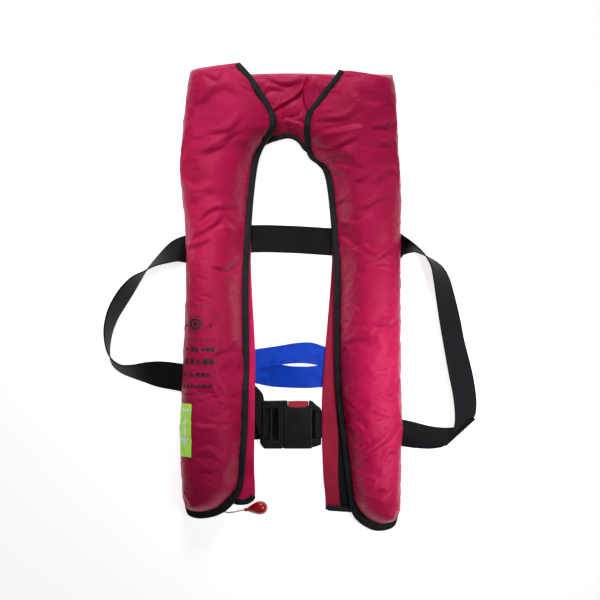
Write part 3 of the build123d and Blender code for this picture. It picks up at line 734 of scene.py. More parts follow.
def make_cover(name):
    """The front cover of a lobe and its grid of points: simulated, refined, creased and thickened."""
    p, u, width = cover_grid(name)
    rows, cols = p.shape[:2]
    sheet = new_object(f"{name}_cover", p.reshape(-1, 3) * MM, grid_faces(rows, cols), COVER)
    fix_up(sheet)
    relax(sheet, rows, cols, (2, 1, 3))
    p = np.array([v.co for v in sheet.data.vertices]).reshape(rows, cols, 3) / MM
    bpy.data.objects.remove(sheet)
    u, width = finer(u[:, :, None])[:, :, 0], finer(width[:, None, None])[:, 0, 0]
    final = add_wrinkles(name, finer(p), u, width)
    sheet = grid_object(f"{name}_cover", final, COVER, thickness=CLOTH_T, offset=-1)
    fix_normals(sheet)
    return sheet, final


def fix_up(obj):
    """Turns a sheet's faces upwards."""
    total = sum((f.normal.z * f.area for f in obj.data.polygons), 0.0)
    if total < 0:
        obj.data.flip_normals()


def make_binding(name, final, lobe):
    """Folded tape round the free edge, which follows the cover's own surface, with its row of stitches."""
    edge = final[:, -1]
    s = arc_length(edge)
    inward = final[:, -6] - edge
    inward[:, 2] *= 0.6
    inward, up = edge_axes(edge, unit(inward))
    w = BINDING_W
    r = BINDING_T / 2
    ring = [(w, r - 0.15), (w * 0.66, r + 0.1), (w * 0.33, r + 0.12), (1.2, r), (0.2, r * 0.75), (-0.5, 0),
            (0.2, -r * 0.75), (1.2, -r), (w * 0.5, -r - 0.05), (w, -r + 0.15), (w + 0.3, -r + 0.8),
            (w + 0.3, r - 0.8)]
    seed = lobe["side"]
    uneven = 1 + 0.04 * wobble(s, 31 + seed, 11.0) + 0.04 * wobble(s, 35 + seed, 34.0)
    uneven *= tape_width(lobe, edge[:, 1]) / w
    raised = edge + up * (0.25 * wobble(s, 41 + seed, 7.0))[:, None]
    body = sweep(f"{name}_binding", raised, inward, up, ring, BINDING, widths=uneven)
    row = raised + inward * (w - 2.0) * uneven[:, None] + up * (r + 0.1)
    return join(f"{name}_lobe_binding", [body, stitches(f"{name}_thread", row[2:-2], up[2:-2])])


def make_side(name, final):
    """The side panel, from the back panel up to the tuck under the cover's outer edge."""
    side = LOBES[name]["side"]
    seam = final[:, 0]
    s = arc_length(seam)
    foot_z = 2.2 + 0.6 * wobble(s, 51 + side, 40)
    columns = []
    for k in np.linspace(0, 1, 12):
        z = foot_z + (seam[:, 2] + 1.6 - foot_z) * k
        bulge = 1.6 * np.sin(math.pi * min(k * 1.05, 1)) - 1.3 * smooth((k - 0.82) / 0.18)
        bulge -= 3.0 * (1 - k) ** 3
        ripple = 0.7 * wobble(s, 61 + side, 8.0) * math.sin(math.pi * k)
        columns.append(np.column_stack([seam[:, 0] + side * (bulge + ripple), seam[:, 1], z]))
    wall = np.stack(columns, axis=1)[1:-1]
    return grid_object(f"{name}_side_wall", wall, COVER, thickness=CLOTH_T, subdivide=1)


def make_end(name, final):
    """The end wall at the shoulder, from the back panel up to the cover's top seam."""
    seam = final[0, ::2]
    ripple = 0.4 * wobble(arc_length(seam), 66 + LOBES[name]["side"], 7.0)
    rows = []
    for k in np.linspace(0, 1, 12):
        y = BACK_TOP + (seam[:, 1] - 0.5 - BACK_TOP) * smooth(k * 1.4)
        y += (1.8 + ripple) * math.sin(math.pi * k)
        z = PANEL_Z + (seam[:, 2] - 0.8 - PANEL_Z) * k
        rows.append(np.column_stack([seam[:, 0], y, z]))
    return grid_object(f"{name}_end_wall", np.stack(rows), COVER, thickness=CLOTH_T, subdivide=1)


# ---- camera, floor and lights ----
def set_camera():
    camera = link(bpy.data.objects.new("camera", bpy.data.cameras.new("camera")))
    camera.location = (0.0119, -0.0033, CAMERA_Z)
    camera.data.sensor_width = 36.0
    camera.data.lens = 36.0 * (CAMERA_Z - SHARP_Z) / VIEW_WIDTH
    bpy.context.scene.camera = camera


def area_light(name, location, target, size, power, spread):
    """A square light that faces a target."""
    light = link(bpy.data.objects.new(name, bpy.data.lights.new(name, "AREA")))
    light.data.size = size
    light.data.energy = power
    light.data.spread = spread
    light.location = location
    light.rotation_euler = (Vector(target) - Vector(location)).to_track_quat("-Z", "Y").to_euler()


def set_studio():
    scene = bpy.context.scene
    scene.view_settings.view_transform = "Standard"
    scene.view_settings.look = "None"
    world = bpy.data.worlds.new("studio")
    world.use_nodes = True
    world.node_tree.nodes["Background"].inputs["Color"].default_value = (1, 1, 1, 1)
    world.node_tree.nodes["Background"].inputs["Strength"].default_value = 0.12
    scene.world = world
    area_light("key", (-0.05, 0.85, 0.60), (-0.08, 0.16, 0), 0.3, 1.7, 1.7)
    area_light("side", (0.50, -0.16, 0.66), (0.19, -0.11, 0), 0.3, 0.62, 0.85)
    area_light("left", (-0.36, 0.18, 0.70), (-0.13, 0.06, 0), 0.25, 0.15, 0.6)
    paper = Look("floor_paper", (0.7, 0.7, 0.7, 1), 0.95, Emission_Color=(1, 1, 1, 1), Emission_Strength=0.78,
                 Specular_IOR_Level=0.0)
    bpy.ops.mesh.primitive_plane_add(size=6, location=(0, 0, -0.0004))
    floor = bpy.context.object
    floor.name = "floor"
    floor.data.materials.append(paper.material)


set_camera()
set_studio()


# ---- lanyard and its handle ----
def place_on(piece, body, slot, *nodes):
    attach(piece, body)
    if nodes:
        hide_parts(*nodes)


def route_line(points):
    """The line of a NURBS spline with these control points, in metres."""
    data = bpy.data.curves.new("route", "CURVE")
    data.dimensions = "3D"
    data.resolution_u = 16
    spline = data.splines.new("NURBS")
    spline.points.add(len(points) - 1)
    for point, place in zip(spline.points, points):
        point.co = (*(c * MM for c in place), 1)
    spline.order_u = 3
    spline.use_endpoint_u = True
    obj = link(bpy.data.objects.new("route", data))
    line = np.array([v.co for v in evaluated_mesh(obj).vertices])
    bpy.data.objects.remove(obj)
    return line


def tube(name, line_mm, radius, material, sides=12):
    along = tangents(line_mm)
    up = np.tile([0.0, 0.0, 1.0], (len(line_mm), 1))
    across = unit(np.cross(up, along))
    up = unit(np.cross(along, across))
    ring = [(radius * math.cos(a), radius * math.sin(a))
            for a in np.linspace(0, 2 * math.pi, sides, endpoint=False)]
    return sweep(name, line_mm, across, up, ring, material)


def make_handle():
    """A teardrop with a collar for the lanyard and a moulding line round it."""
    tip = np.array([-62.0, -284.0, 3.5])
    axis = unit(np.array([0.951, 0.165, 0.261]))
    side = unit(np.cross([0, 0, 1.0], axis))
    top = np.cross(axis, side)
    # distance from the tip and radius
    shape = [(0, 0.9), (0, 2.0), (0.7, 2.5), (2.2, 2.55), (3.0, 2.2), (4.2, 2.5), (8, 4.3), (13, 6.6),
             (18, 8.5), (22, 9.0), (26, 8.4), (29, 6.6), (31, 4.0), (31.8, 1.6), (32, 0.3)]
    profile = curve(shape, 70)
    sides = 48
    verts = []
    for d, r in profile:
        for k in range(sides):
            a = 2 * math.pi * k / sides
            seam = 0.12 * math.exp(-(math.sin(a) / 0.06) ** 2) if d > 4 else 0
            r_here = max(r + seam, 0.05)
            verts.append((tip + axis * d + side * r_here * math.cos(a) + top * r_here * math.sin(a)) * MM)
    handle = new_object("red_handle", verts, capped_faces(len(profile), sides), HANDLE)
    fix_normals(handle)
    place_on(handle, "handle", "handle_plastic", "pull_handle")
    return handle


def make_lanyard():
    """The cord from the inflator's lever, out under the lobe's edge, to the handle."""
    line = route_line(LANYARD)
    cord = tube("lanyard", resample(line / MM, 90), LANYARD_D / 2, CORD)
    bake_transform(cord)
    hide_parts("pull_lanyard")


HANDLE_PIECE = make_handle()
make_lanyard()


# ---- lobes ----
def blend_down(piece, flap, slot, *nodes):
    """Bakes a piece's transform and hides the CAD nodes it stands for."""
    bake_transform(piece)
    if nodes:
        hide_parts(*nodes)


def make_lobe(name):
    """The cover, edge binding, side wall and end wall of a lobe. Returns the cover and its grid."""
    cover, final = make_cover(name)
    edging = make_binding(name, final, LOBES[name])
    wall = make_side(name, final)
    flap = f"{name}_flap"
    blend_down(cover, flap, "cover_cloth", f"{name}_shoulder_cover", f"{name}_front_flap")
    blend_down(edging, flap, "binding_tape", f"{name}_shoulder_binding", f"{name}_flap_binding")
    place_on(wall, "jacket", "cover_cloth", f"{name}_side_panel")
    end = make_end(name, final)
    place_on(end, "jacket", "cover_cloth")
    return cover, final


RIGHT_COVER, RIGHT_GRID = make_lobe("right")
make_lobe("left")


# ---- back panels and tapes ----
STRIP_END = {
    "right": [(-48, -266), (-51, -271), (-60, -276), (-74, -276), (-84, -269.5), (-108, -268), (-138, -268)],
    "left": [(46, -281), (50, -284), (60, -285), (90, -287), (120, -290), (141, -288)],
}


def make_back(name):
    """The back panel of a lobe, with its free inner strip and the taped lower edge."""
    lobe = LOBES[name]
    side = lobe["side"]
    inner = curve([(56 * side, y) for y in (BACK_TOP, 200, 110)] + lobe["strip"], 160)
    outer = curve([(x, y) for x, y in lobe["outer"] if y > -262] + [(142 * side, -268)], 160)
    end = curve(STRIP_END[name], 60)
    rows, cols = 200, 40
    u = np.linspace(0, 1, cols)
    foot = np.column_stack([np.interp(u, np.linspace(0, 1, 60), end[:, k]) for k in (0, 1)])
    p = np.zeros((rows, cols, 3))
    for i, v in enumerate(np.linspace(0, 1, rows)):
        y = BACK_TOP + (foot[:, 1] - BACK_TOP) * v
        near = smooth((v - 0.93) / 0.07)
        xi = np.interp(-y, -inner[:, 1], inner[:, 0])
        xo = np.interp(-y, -outer[:, 1], outer[:, 0])
        across = xi + (xo - xi) * u
        p[i, :, 0] = across + (foot[:, 0] - across) * near
        p[i, :, 1] = y
    x, y = p[:, :, 0], p[:, :, 1]
    ripple = field(x, y, 71 + side, 22) * 0.35 + field(x * 2, y, 75 + side, 9) * 0.16
    free = np.exp(-(np.abs(x - p[:, :1, 0]) / 7) ** 2)
    flutter = 0.35 * wobble(y, 77 + side, 16) + (0.25 if side > 0 else 0.0)
    p[:, :, 2] = PANEL_Z + ripple * 0.7 + lift_at(lobe, y) * smooth((x + 92) / 16) + free * flutter
    # the left panel takes the darker lining copy, painted shade of the lobe's shadow
    cloth = LINING if side < 0 else SHADED_LINING
    panel = grid_object(f"{name}_back_cloth", p, cloth, thickness=CLOTH_T, subdivide=1)
    nodes = [f"{name}_back_panel"] + ([f"{name}_panel_strip"] if lobe["lift"] else [])
    place_on(panel, "jacket", "lining_cloth", *nodes)

    line = p[-1]
    inward, up = edge_axes(line, np.tile([0.0, 1.0, 0.0], (cols, 1)))
    ring = [(7, 1.0), (3.5, 1.15), (0.6, 1.1), (-0.6, 0.6), (-0.9, 0), (-0.6, -0.6), (0.6, -1.1), (7, -1.0)]
    hem = sweep(f"{name}_hem", line, inward, up, ring, BINDING)
    thread = stitches(f"{name}_hem_thread", line + inward * 5.4 + up * 1.2, up)
    hem = join(f"{name}_hem_tape", [hem, thread])
    place_on(hem, "jacket", "binding_tape", f"{name}_back_hem")


for lobe_name in LOBES:
    make_back(lobe_name)


def make_closure(name):
    """Hook tape under the flap's free edge and loop tape on the panel below it. On the left lobe the loop
    tape shows past the flap, more of it towards the lower end."""
    lobe = LOBES[name]
    side = lobe["side"]
    edge = curve(lobe["edge"], 900)
    rows = 90
    ys = np.linspace(50, -228 if side < 0 else -279, rows)
    start = int(np.argmax(edge[:, 1] < 60))
    stop = int(np.argmax(edge[:, 1] < ys[-1] - 5))
    part = edge[start:stop]
    xs = np.interp(-ys, -part[:, 1], part[:, 0])
    rise = lift_at(lobe, ys)
    gap = np.interp(-ys, (0, 80, 135, 190, 243, 290), (0, 0, 1.5, 4.6, 11.5, 14)) * (side > 0)
    for kind, body, low, high, shown in (("loop", "jacket", 5.0, 6.2, gap),
                                         ("hook", f"{name}_flap", 6.6, 7.7, 0 * gap)):
        centre = np.column_stack([xs + side * (5 - shown / 2), ys, (low + high) / 2 + rise])
        across = np.tile([1.0, 0, 0], (rows, 1))
        up = np.tile([0, 0, 1.0], (rows, 1))
        ring = section_ring(8.0, high - low)
        strip = sweep(f"{name}_{kind}_strip", centre, across, up, ring, PILE, widths=1 + shown / 8)
        place_on(strip, body, "hook_and_loop", f"{name}_{kind}_tape")


for lobe_name in LOBES:
    make_closure(lobe_name)


# ---- collar ----
NECK_LINE = [(-60, 199), (-48, 199), (-35, 203), (-26, 207), (-8, 212), (1, 211.5), (10, 206), (19, 195),
             (34, 192), (60, 192)]


def make_collar():
    """The cloth behind the neck, puffed and creased."""
    cols, rows = 110, 60
    front = curve(NECK_LINE, 400)
    x = np.linspace(-59, 59, cols)
    yf = np.interp(x, front[:, 0], front[:, 1]) + 4.5
    yb = 300.0 - 1.5 * (x / 59) ** 2
    t = np.linspace(0, 1, rows)[:, None]
    y = yf + (yb - yf) * t
    front_rise = 1 - (1 - smooth(t / 0.30)) ** 1.6
    back_fall = np.sqrt(np.clip(1 - ((t - 0.80) / 0.20).clip(0, 1) ** 2.2, 0, 1))
    z = 5.2 + (6.3 + (COLLAR_Z - 11.5) * front_rise) * back_fall
    p = np.dstack([np.tile(x, (rows, 1)), y, z * np.ones((1, cols))])
    hold = smooth(t / 0.1) * smooth((1 - t) / 0.06)
    x_all, y_all = p[:, :, 0], p[:, :, 1]
    d = folds_at(x_all, y_all, FOLDS["collar"])
    d += field(x_all, y_all, 91, 17) * 0.7 + field(x_all, y_all, 92, 8) * 0.25
    d += wobble(x, 93, 4.0)[None, :] * 0.9 * np.exp(-((t - 0.12) / 0.1) ** 2)
    p = p + upward_normals(p) * (np.minimum(d, 1.4) * hold)[:, :, None]
    verts = p.reshape(-1, 3) * MM
    collar = new_object("collar_cloth", verts, grid_faces(rows, cols), COVER, grid_uv(p * MM))
    fix_up(collar)
    relax(collar, rows, cols, (2, 2, 2), frames=12, cap=2.5)
    thicken(collar, CLOTH_T, -1, 1)
    place_on(collar, "jacket", "cover_cloth", "neck_cover")


def make_neck_edge():
    """Binding along the neck, with its stitches."""
    front = curve(NECK_LINE, 400)
    x = np.linspace(-58, 58, 130)
    line = np.column_stack([x, np.interp(x, front[:, 0], front[:, 1]), np.full(130, 9.5)])
    inward = unit(np.cross([0, 0, 1.0], tangents(line)))
    inward *= np.sign(inward[:, 1:2])
    up = np.tile([0, 0, 1.0], (130, 1))
    ring = [(6.6, 2.6), (4, 3.2), (1.6, 3.2), (0.2, 2.2), (-0.5, 0), (0.2, -2.2), (1.6, -3.4), (6.6, -3.4)]
    band = sweep("neck_tape", line, inward, up, ring, BINDING, widths=1 + 0.05 * wobble(x, 95, 9.0))
    thread = stitches("neck_thread", line + inward * 4.7 + up * 3.15, up)
    band = join("neck_edge_tape", [band, thread])
    place_on(band, "jacket", "binding_tape", "neck_binding")


def make_neck_back():
    """The back panel under the collar."""
    front = curve(NECK_LINE, 400)
    cols, rows = 60, 40
    x = np.linspace(-58, 58, cols)
    t = np.linspace(0, 1, rows)[:, None]
    y0 = np.interp(x, front[:, 0], front[:, 1])
    q = np.dstack([np.tile(x, (rows, 1)), y0 + (299 - y0) * t, np.full((rows, cols), PANEL_Z)])
    q[:, :, 2] += 0.3 * field(q[:, :, 0], q[:, :, 1], 96, 20)
    panel = grid_object("neck_back_cloth", q, LINING, thickness=CLOTH_T, subdivide=1)
    place_on(panel, "jacket", "lining_cloth", "neck_back_panel")


make_collar()
make_neck_edge()
make_neck_back()


# ---- folded bladder ----
def make_bladder(name):
    """The bladder folded into a lobe: an arched pad with lengthwise pleats, below the cover."""
    side = LOBES[name]["side"]
    rows = 150
    e, o = matched_edges(LOBES[name], rows)
    mid = (e[:, 1] + o[:, 1]) / 2
    if side < 0:
        crown = 20 + (44 - 20) * smooth((mid + 60) / 16)
    else:
        low = smooth((50 - mid) / 14) * smooth((mid + 160) / 14)
        crown = 44 - 15 * low - 6 * smooth((-225 - mid) / 30)
    p, u, width = cover_grid(name, rows, crown)
    keep = (mid < 272) & (mid > (-246 if side < 0 else -256))
    p, u, mid = p[keep], u[keep], mid[keep]
    cols = [j for j in range(p.shape[1]) if 0.085 < u[len(u) // 2, j] < 0.86]
    top, spread = p[:, cols], u[:, cols]
    under = top[:, :, 2] - 8.5
    if side < 0:
        flat = smooth((-50 - top[:, :, 1]) / 12)
        under = under * (1 - flat) + 9.0 * flat
        top[:, :, 0] = np.where(flat > 0.5, np.minimum(top[:, :, 0], -93), top[:, :, 0])
    arch_share = np.clip((under - 10) / 12, 0, 1)
    within = smooth((spread - 0.1) / 0.1) * smooth((0.84 - spread) / 0.1)
    pleats = 0.9 * np.sin(spread * 44) * arch_share * within
    top[:, :, 2] = np.maximum(under, 8.6) + pleats + 0.3 * field(top[:, :, 0], top[:, :, 1], 101 + side, 14)
    in_collar = (top[:, :, 1] > 188) & (side * top[:, :, 0] < 57)
    top[:, :, 0] = np.where(in_collar, side * 57, top[:, :, 0])
    base = top[:, ::-1].copy()
    base[:, :, 2] = 6.9
    ring = np.concatenate([top, base], axis=1)
    verts = ring.reshape(-1, 3) * MM
    pad = new_object(f"{name}_bladder", verts, capped_faces(*ring.shape[:2]), BLADDER, grid_uv(ring * MM))
    fix_normals(pad)
    pad.modifiers.new("sub", "SUBSURF").levels = 1
    apply_modifiers(pad)
    place_on(pad, "jacket", "bladder_cloth", f"bladder_{name}_fold")


for lobe_name in LOBES:
    make_bladder(lobe_name)


def make_neck_fold():
    """The part of the bladder folded behind the neck."""
    verts, cols, rows = [], 40, 40
    for x in np.linspace(-54, 54, rows):
        for j in range(cols):
            a = 2 * math.pi * j / cols
            c, s = math.cos(a), math.sin(a)
            y = 257 + 26 * math.copysign(abs(c) ** 0.5, c)
            z = 12.5 + 6 * math.copysign(abs(s) ** 0.6, s) + (0.4 * math.sin(y / 2.2) if s > 0.3 else 0)
            verts.append((x * MM, y * MM, z * MM))
    uvs = grid_uv(np.array(verts).reshape(rows, cols, 3))
    fold = new_object("neck_bladder", verts, capped_faces(rows, cols), BLADDER, uvs)
    fix_normals(fold)
    place_on(fold, "jacket", "bladder_cloth", "neck_bladder_fold")


make_neck_fold()


# ---- belt ----
def belt_frame(route):
    """Centres and across vectors of webbing along a route of (x, y, degrees on edge, lowest z)."""
    q = curve(route, 60 * len(route), per_span=40)
    q = resample(q, int(arc_length(q[:, :2])[-1] / 2.6))
    run = tangents(np.column_stack([q[:, :2], np.zeros(len(q))]))
    a = np.radians(q[:, 2:3])
    upright = np.array([[0, 0, 1.0]])
    across = np.cross(upright, run) * np.cos(a) + upright * np.sin(a)
    rise = BELT_W / 2 * np.abs(np.sin(a[:, 0])) + BELT_T / 2 * np.abs(np.cos(a[:, 0]))
    return np.column_stack([q[:, :2], rise + q[:, 3]]), across


def belt_ring():
    """Webbing's cross-section: flat, with a slightly thicker selvedge."""
    half, t = BELT_W / 2, BELT_T / 2
    left = [(-half + 0.1, 0.30), (-half + 0.5, t + 0.08), (-half + 1.6, t + 0.12), (-half + 2.4, t - 0.12)]
    flat = [(c, t) for c in np.linspace(-half + 3.2, half - 3.2, 9)]
    top = left + flat + [(-c, h) for c, h in left[::-1]]
    return top + [(c, -h) for c, h in top[::-1]]


def strap_from_edges(name, a, b, material):
    """Webbing between two edge lines that run side by side."""
    centre = (a + b) / 2
    across = unit(b - a)
    up = unit(np.cross(tangents(centre), across))
    widths = np.linalg.norm(b - a, axis=1) / BELT_W
    return sweep(name, centre, across, up, belt_ring(), material, widths=widths)


# Edges of the webbing from the buckle round the left side and across the back, as (x, y, z) pairs. It folds
# over itself at the lower corner and turns over once where it nears the left lobe.
LEFT_EDGES = [
    ((29.8, -188, 3.0), (29.8, -151, 3.0)), ((30.0, -188, 6.4), (30.0, -151, 6.4)),
    ((32.5, -188, 8.3), (32.5, -151, 8.3)), ((37.0, -188, 7.8), (37.0, -151, 7.8)),
    ((41.0, -188, 4.4), (41.0, -151, 4.4)), ((44.0, -188.3, 2.4), (44.0, -151.3, 2.4)),
    ((60, -190, 2.1), (60, -153, 2.1)), ((95, -193.5, 2.1), (95, -156.5, 2.1)),
    ((130, -197, 2.1), (130, -160, 2.1)), ((146.8, -199, 3.6), (146.8, -162.5, 2.0)),
    ((165, -200.6, 12), (165, -166.5, 1.6)), ((184, -200.8, 20), (184, -171.5, 1.8)),
    ((196, -198.9, 24), (200, -173.8, 3.0)), ((199.3, -198.0, 24.8), (216, -173.8, 4.2)),
    ((201.5, -196.8, 25), (232, -169.4, 5.0)), ((203.0, -195.8, 25), (243.4, -162.6, 5.0)),
    ((205.0, -196.4, 23.2), (246.4, -162.4, 3.2)), ((204.6, -194.8, 21.6), (245.2, -160.8, 1.5)),
    ((208.5, -188, 21.4), (247.4, -154, 1.1)), ((214.5, -177, 21.6), (248.2, -145, 1.0)),
    ((217.2, -160, 22), (248.0, -133, 0.9)), ((215.0, -132, 20), (245.8, -116, 0.9)),
    ((209.0, -100, 17.5), (241.5, -94, 0.9)), ((200.8, -55, 20.5), (232.0, -57, 0.9)),
    ((196.6, -31, 22), (227.0, -31, 0.9)), ((191.8, 0, 26), (219.0, 2, 0.9)),
    ((188.2, 24, 30), (211.5, 27, 0.9)), ((184.6, 41, 34.0), (201.0, 43, 0.9)),
    ((178.5, 53, 36.9), (184.0, 54, 0.9)), ((173.0, 60.6, 37.2), (173.4, 58.6, 0.8)),
    ((166.6, 66.8, 35.5), (166.2, 60.9, 0.9)), ((158.5, 74.6, 28), (158.5, 59.6, 1.1)),
    ((150.8, 81.6, 14), (150.8, 56.6, 1.3)), ((143.9, 86.4, 2.9), (143.9, 51.5, 2.0)),
    ((120, 88.6, 2.1), (120, 51.8, 2.1)), ((54, 93, 2.1), (54, 56, 2.1)), ((0, 96.2, 2.1), (0, 59.4, 2.1)),
    ((-54, 97, 2.1), (-54, 60, 2.1)), ((-100, 90.3, 2.1), (-100, 53.3, 2.1)),
    ((-132, 84.6, 2.1), (-132, 47.6, 2.1)),
]


def make_belt():
    left = [along_points([pair[k] for pair in LEFT_EDGES], 9) for k in (0, 1)]
    centre, across = belt_frame(RIGHT_LOOP)
    # both runs head towards -X where they meet, so the first edge of each is the upper one
    a = np.vstack([left[0], centre - across * BELT_W / 2])
    b = np.vstack([left[1], centre + across * BELT_W / 2])
    belt = strap_from_edges("waist_belt_webbing", a, b, BELT)
    place_on(belt, "jacket", "belt_webbing", "back_belt", "right_belt_loop", "left_belt_loop",
             "right_front_belt", "left_front_belt")


make_belt()


def ribbon(name, edges, heights, material, thickness, lows=None, seed=5, ruffle=0.3):
    """A ribbon ruled between an upper and a lower edge line of (x, y), with a height along each edge."""
    count, across = 110, 16
    a, b = [curve(edge, count) for edge in edges]
    f = np.linspace(0, 1, count)
    tops = np.interp(f, np.linspace(0, 1, len(heights)), heights)
    lows = tops if lows is None else np.interp(f, np.linspace(0, 1, len(lows)), lows)
    t = np.linspace(0, 1, across)[None, :, None]
    p = a[:, None, :] * (1 - t) + b[:, None, :] * t
    z = tops[:, None] * (1 - t[:, :, 0]) + lows[:, None] * t[:, :, 0]
    z = z + ruffle * wobble(f[:, None] * 100 + 6 * t[:, :, 0], seed, 14)
    return grid_object(name, np.dstack([p, z]), material, thickness=thickness, subdivide=1)


def make_adjuster():
    """The webbing between the right front belt and the buckle tongue, and its free tail."""
    top = [(-96, -103.5), (-78, -108), (-61, -111.5), (-50, -116), (-43, -121.5), (-37.5, -129), (-36, -137),
           (-35, -146), (-33.5, -151), (-30, -151)]
    low = [(-96, -141), (-78, -145), (-61, -150), (-53, -158), (-47, -170), (-42.5, -183), (-39, -187.5),
           (-36, -188), (-33.5, -188), (-30, -188)]
    heights = [2.3, 2.3, 2.6, 4.2, 8.5, 10.8, 10.6, 9.2, 6.8, 5.4]
    strap = ribbon("adjuster_webbing", (top, low), heights, BELT, 1.5, ruffle=0.12)
    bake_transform(strap)
    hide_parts("adjuster_strap")
    top = [(-106, -155), (-80, -154.5), (-60, -153), (-44, -151.5), (-28, -151), (-13, -151)]
    low = [(-106, -191.5), (-80, -191.5), (-60, -191.5), (-48, -190.5), (-28, -189), (-13, -189)]
    tail = ribbon("tail_webbing", (top, low), [2.1, 2.1, 2.0, 1.6, 1.6, 1.6], BELT, 1.4, ruffle=0.1)
    place_on(tail, "buckle_tongue", "belt_webbing", "belt_tail")


make_adjuster()


def make_keepers():
    """Cloth loops under the back panels that hold the belt."""
    loops = []
    for k, (x, y0, y1) in enumerate(((-100, 38, 104), (100, 42, 104), (-127, -203, -80), (118, -212, -144))):
        line = np.array([(x, y0 + 0.5, 3.3), (x, y0 + 0.5, 0.6), (x, y0 + 4, 0.5), (x, (y0 + y1) / 2, 0.5),
                         (x, y1 - 4, 0.5), (x, y1 - 0.5, 0.6), (x, y1 - 0.5, 3.3)])
        across = np.tile([1.0, 0, 0], (len(line), 1))
        up = unit(np.cross(tangents(line), across))
        loops.append(sweep(f"keeper_{k}", line, across, up, section_ring(18, 0.9), BINDING))
    place_on(join("keeper_loops", loops), "jacket", "belt_webbing", "belt_keepers")


make_keepers()


def make_lifting_loop():
    """A blue ribbon from the right strip across to the left one and back under."""
    upper_top = [(-58, -72), (-47.5, -69), (-20, -65), (8, -60.5), (27, -60), (41, -64), (50, -68)]
    upper_low = [(-58, -100), (-47.5, -98), (-14, -90), (5, -88), (22, -88.4), (41, -92), (50, -96)]
    lower_top = [(-58, -86), (-47.5, -88), (-14, -89.5), (2, -91.6), (24, -92.0), (41, -90), (50, -90)]
    lower_low = [(-58, -113), (-47.5, -115), (-25, -119.5), (12, -121.5), (30, -121), (41, -120), (50, -119)]
    upper = ribbon("loop_upper", (upper_top, upper_low), [2.7, 3.0, 2.6, 2.4, 2.6, 3.0, 2.6, 2.4], BLUE, 0.9,
                   lows=[2.7, 3.6, 8.0, 10.6, 10.0, 6.8, 3.2, 2.5], seed=121, ruffle=0.2)
    lower = ribbon("loop_lower", (lower_top, lower_low), [2.0, 2.6, 6.0, 8.2, 8.0, 5.2, 2.4, 1.8], BLUE, 0.9,
                   lows=[2.0, 1.8, 1.3, 1.3, 1.3, 1.4, 1.6, 1.6], seed=124, ruffle=0.12)
    loop = join("lifting_ribbon", [upper, lower])
    place_on(loop, "jacket", "blue_webbing", "lifting_loop", "loop_anchor")


make_lifting_loop()


# ---- buckle ----
def plate(name, outlines, z0, z1, bevel=0.6, steps=3, material=BUCKLE):
    """A flat moulded plate from closed outlines in mm, the first one outside and the others holes."""
    data = bpy.data.curves.new(name, "CURVE")
    data.dimensions = "2D"
    data.fill_mode = "BOTH"
    data.extrude = (z1 - z0) / 2 * MM - bevel * MM
    data.bevel_depth = bevel * MM
    data.bevel_resolution = steps
    data.offset = -bevel * MM
    for points in outlines:
        spline = data.splines.new("POLY")
        spline.points.add(len(points) - 1)
        for point, (x, y) in zip(spline.points, points):
            point.co = (x * MM, y * MM, 0, 1)
        spline.use_cyclic_u = True
    filled = link(bpy.data.objects.new(name, data))
    mesh = evaluated_mesh(filled)
    bpy.data.objects.remove(filled)
    mesh.transform(Matrix.Translation((0, 0, (z0 + z1) / 2 * MM)))
    mesh.materials.clear()
    mesh.materials.append(material)
    obj = link(bpy.data.objects.new(name, mesh))
    fix_normals(obj, weld=1e-6)
    mesh.polygons.foreach_set("use_smooth", [False] * len(mesh.polygons))
    return obj


def box_outline(x0, x1, y0, y1, r=1.0, steps=5):
    """A rectangle with round corners, anticlockwise from the upper right one."""
    points = []
    corners = ((x1 - r, y1 - r), (x0 + r, y1 - r), (x0 + r, y0 + r), (x1 - r, y0 + r))
    for quarter, (cx, cy) in enumerate(corners):
        for k in range(steps + 1):
            a = math.radians(90 * (quarter + k / steps))
            points.append((cx + r * math.cos(a), cy + r * math.sin(a)))
    return points


def rounded(points, r=2.0, steps=5):
    """A closed outline with each corner rounded."""
    q = [np.array(p, float) for p in points]
    out = []
    for a, b, c in zip(q[-1:] + q[:-1], q, q[1:] + q[:1]):
        ba, bc = a - b, c - b
        la, lc = np.linalg.norm(ba), np.linalg.norm(bc)
        k = min(r, 0.45 * la, 0.45 * lc)
        p0, p2 = b + ba / la * k, b + bc / lc * k
        for t in np.linspace(0, 1, steps + 1):
            out.append(tuple((1 - t) ** 2 * p0 + 2 * t * (1 - t) * b + t * t * p2))
    return out


LOW_Y, HIGH_Y, BASE_Z, FACE_Z = -201.5, -137.5, 0.6, 12.6
MOUTH_LOW, MOUTH_HIGH = LOW_Y + 9, -152.5


